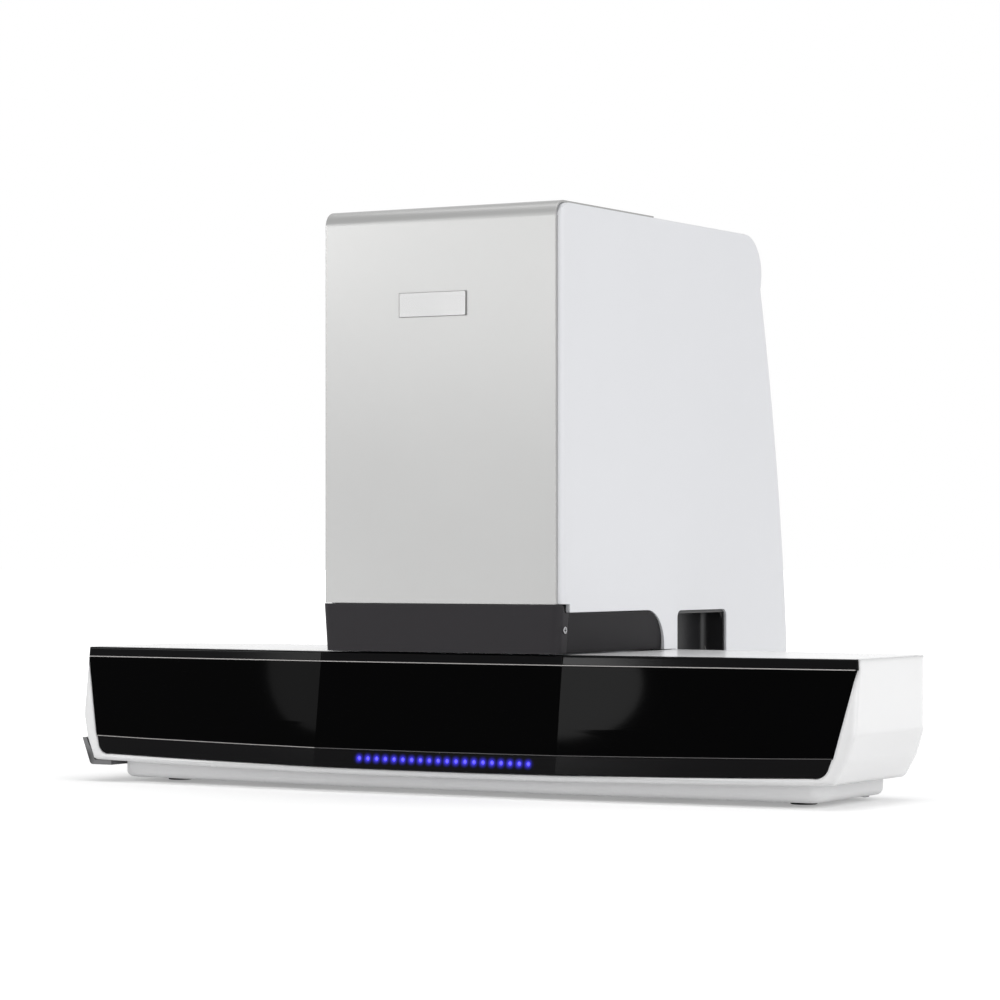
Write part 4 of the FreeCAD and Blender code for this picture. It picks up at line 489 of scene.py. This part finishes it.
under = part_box("base_pan")[0].z
vents = bmesh.new()
for cx in (-VENT_X, VENT_X):
    for i in range(VENT_COUNT):
        y = VENT_Y + VENT_PITCH * i
        slab(vents, cx - VENT_HALF_LENGTH, cx + VENT_HALF_LENGTH, y - VENT_HALF_WIDTH, y + VENT_HALF_WIDTH,
             under - 0.00012, under + 0.0002, 0.0015)
add_mesh("under_vent_shade", vents, "hollow_painted_shade")
plate = bmesh.new()
slab(plate, -0.045, 0.045, 0.020, 0.062, under - 0.0004, under + 0.0001, 0.003)
add_mesh("rating_plate_bare", plate, "bare_plate")
heads, sockets = bmesh.new(), bmesh.new()
for x, y in SCREW_SPOTS:
    stack(heads, *((circle(r, 32, x, y), under + z) for r, z in SCREW_HEAD))
    hexagon = circle(SOCKET_R, 6, x, y)
    stack(sockets, (hexagon, under + SOCKET_LOW), (hexagon, under + SOCKET_TOP))
add_mesh("under_screws", heads, "bright_screw")
add_mesh("under_screw_socket_shade", sockets, "hollow_painted_shade")

# Wire guard on the fan
GUARD_Y, FAN_Z = 0.1600, 0.108
GUARD_RADII = (0.009, 0.0155, 0.022, 0.0275)
WIRE_R = 0.0006
rings = [[(x, GUARD_Y, FAN_Z + z) for x, z in circle(r, 48)] for r in GUARD_RADII]
add_line("fan_guard_rings", rings, WIRE_R, "bright_screw", closed=True)
spokes = [[(x * GUARD_RADII[-1], GUARD_Y, FAN_Z + z * GUARD_RADII[-1]), (0, GUARD_Y, FAN_Z)]
          for x, z in ((1, 0), (-1, 0), (0, 1), (0, -1))]
add_line("fan_guard_spokes", spokes, WIRE_R, "bright_screw")


# Light, floor and background

def lamp(name, place, target, size, power, shape="RECTANGLE"):
    """White area lamp at a place, turned to its target."""
    light = bpy.data.lights.new(name, "AREA")
    light.shape = shape
    light.size, light.size_y = size
    light.energy = power
    holder = bpy.data.objects.new(name, light)
    scene.collection.objects.link(holder)
    holder.location = place
    holder.rotation_euler = (Vector(target) - Vector(place)).to_track_quat("-Z", "Y").to_euler()


lamp("soft_left", (-1.22, -1.14, 0.68), (-0.09, -0.177, 0.38), (0.34, 0.34), 3.4)
lamp("soft_rim", (-1.15, -1.10, 0.03), (-0.24, -0.16, 0.010), (0.8, 0.04), 0.45)
lamp("soft_top", (0.2, -0.2, 2.6), (0, 0, 0.2), (2.0, 2.0), 24)
lamp("soft_low", (1.5, -1.1, 0.22), (0.1, -0.15, 0.02), (0.7, 0.3), 1.2)
lamp("soft_right", (3.0, -0.6, 1.0), (0, 0, 0.2), (1.6, 1.6), 21)
# Two small lamps that show as the grey forms in the glass beside its creases
lamp("card_left", (-1.592, -1.941, 0.5425), (-0.112, -0.178, 0.070), (0.148, 0.22), 0.47, "ELLIPSE")
lamp("card_right", (-0.7175, -2.0796, 0.5195), (0.110, -0.178, 0.070), (0.21, 0.156), 1.2, "ELLIPSE")

# The world is white to the eye and in reflections, and a softer light on the object
WORLD_LIGHT = 0.50
world = bpy.data.worlds.new("studio")
scene.world = world
world.use_nodes = True
add = adder(world.node_tree)
ray = add("ShaderNodeLightPath").outputs
seen = calc(add, "MAXIMUM", ray["Is Camera Ray"], ray["Is Glossy Ray"])
seen = calc(add, "MAXIMUM", seen, ray["Is Transmission Ray"])
level = ramp(add, seen, 0.0, 1.0, WORLD_LIGHT, 1.0)
sky = add("ShaderNodeBackground", {"Color": (1, 1, 1, 1), "Strength": level})
add("ShaderNodeOutputWorld", {"Surface": sky.outputs[0]})

# The floor turns white away from the object and keeps its shadow near it
FLOOR_R, FLOOR_Z = 30, -0.0003
bpy.ops.mesh.primitive_circle_add(radius=FLOOR_R, vertices=96, fill_type="NGON", location=(0, 0, FLOOR_Z))
floor = bpy.context.object
floor.name = "floor"
floor_white, add = new_material("floor_white")
place = object_place(add)
ray = add("ShaderNodeLightPath").outputs
pale = blend(add, noise(add, place, 3.0), rgba((0.84, 0.84, 0.84)), rgba((0.86, 0.86, 0.86)))
matte = add("ShaderNodeBsdfDiffuse", {"Color": pale})
reach = add("ShaderNodeVectorMath", {0: place}, operation="LENGTH").outputs["Value"]
seen = calc(add, "MAXIMUM", ray["Is Camera Ray"], ray["Is Glossy Ray"])
lift = calc(add, "MULTIPLY", seen, ramp(add, reach, 0.45, 1.3, 0.30, 1.0))
shine = add("ShaderNodeEmission", {"Strength": lift})
both = add("ShaderNodeAddShader", {0: matte.outputs[0], 1: shine.outputs[0]})
add("ShaderNodeOutputMaterial", {"Surface": both.outputs[0]})
floor.data.materials.append(floor_white)
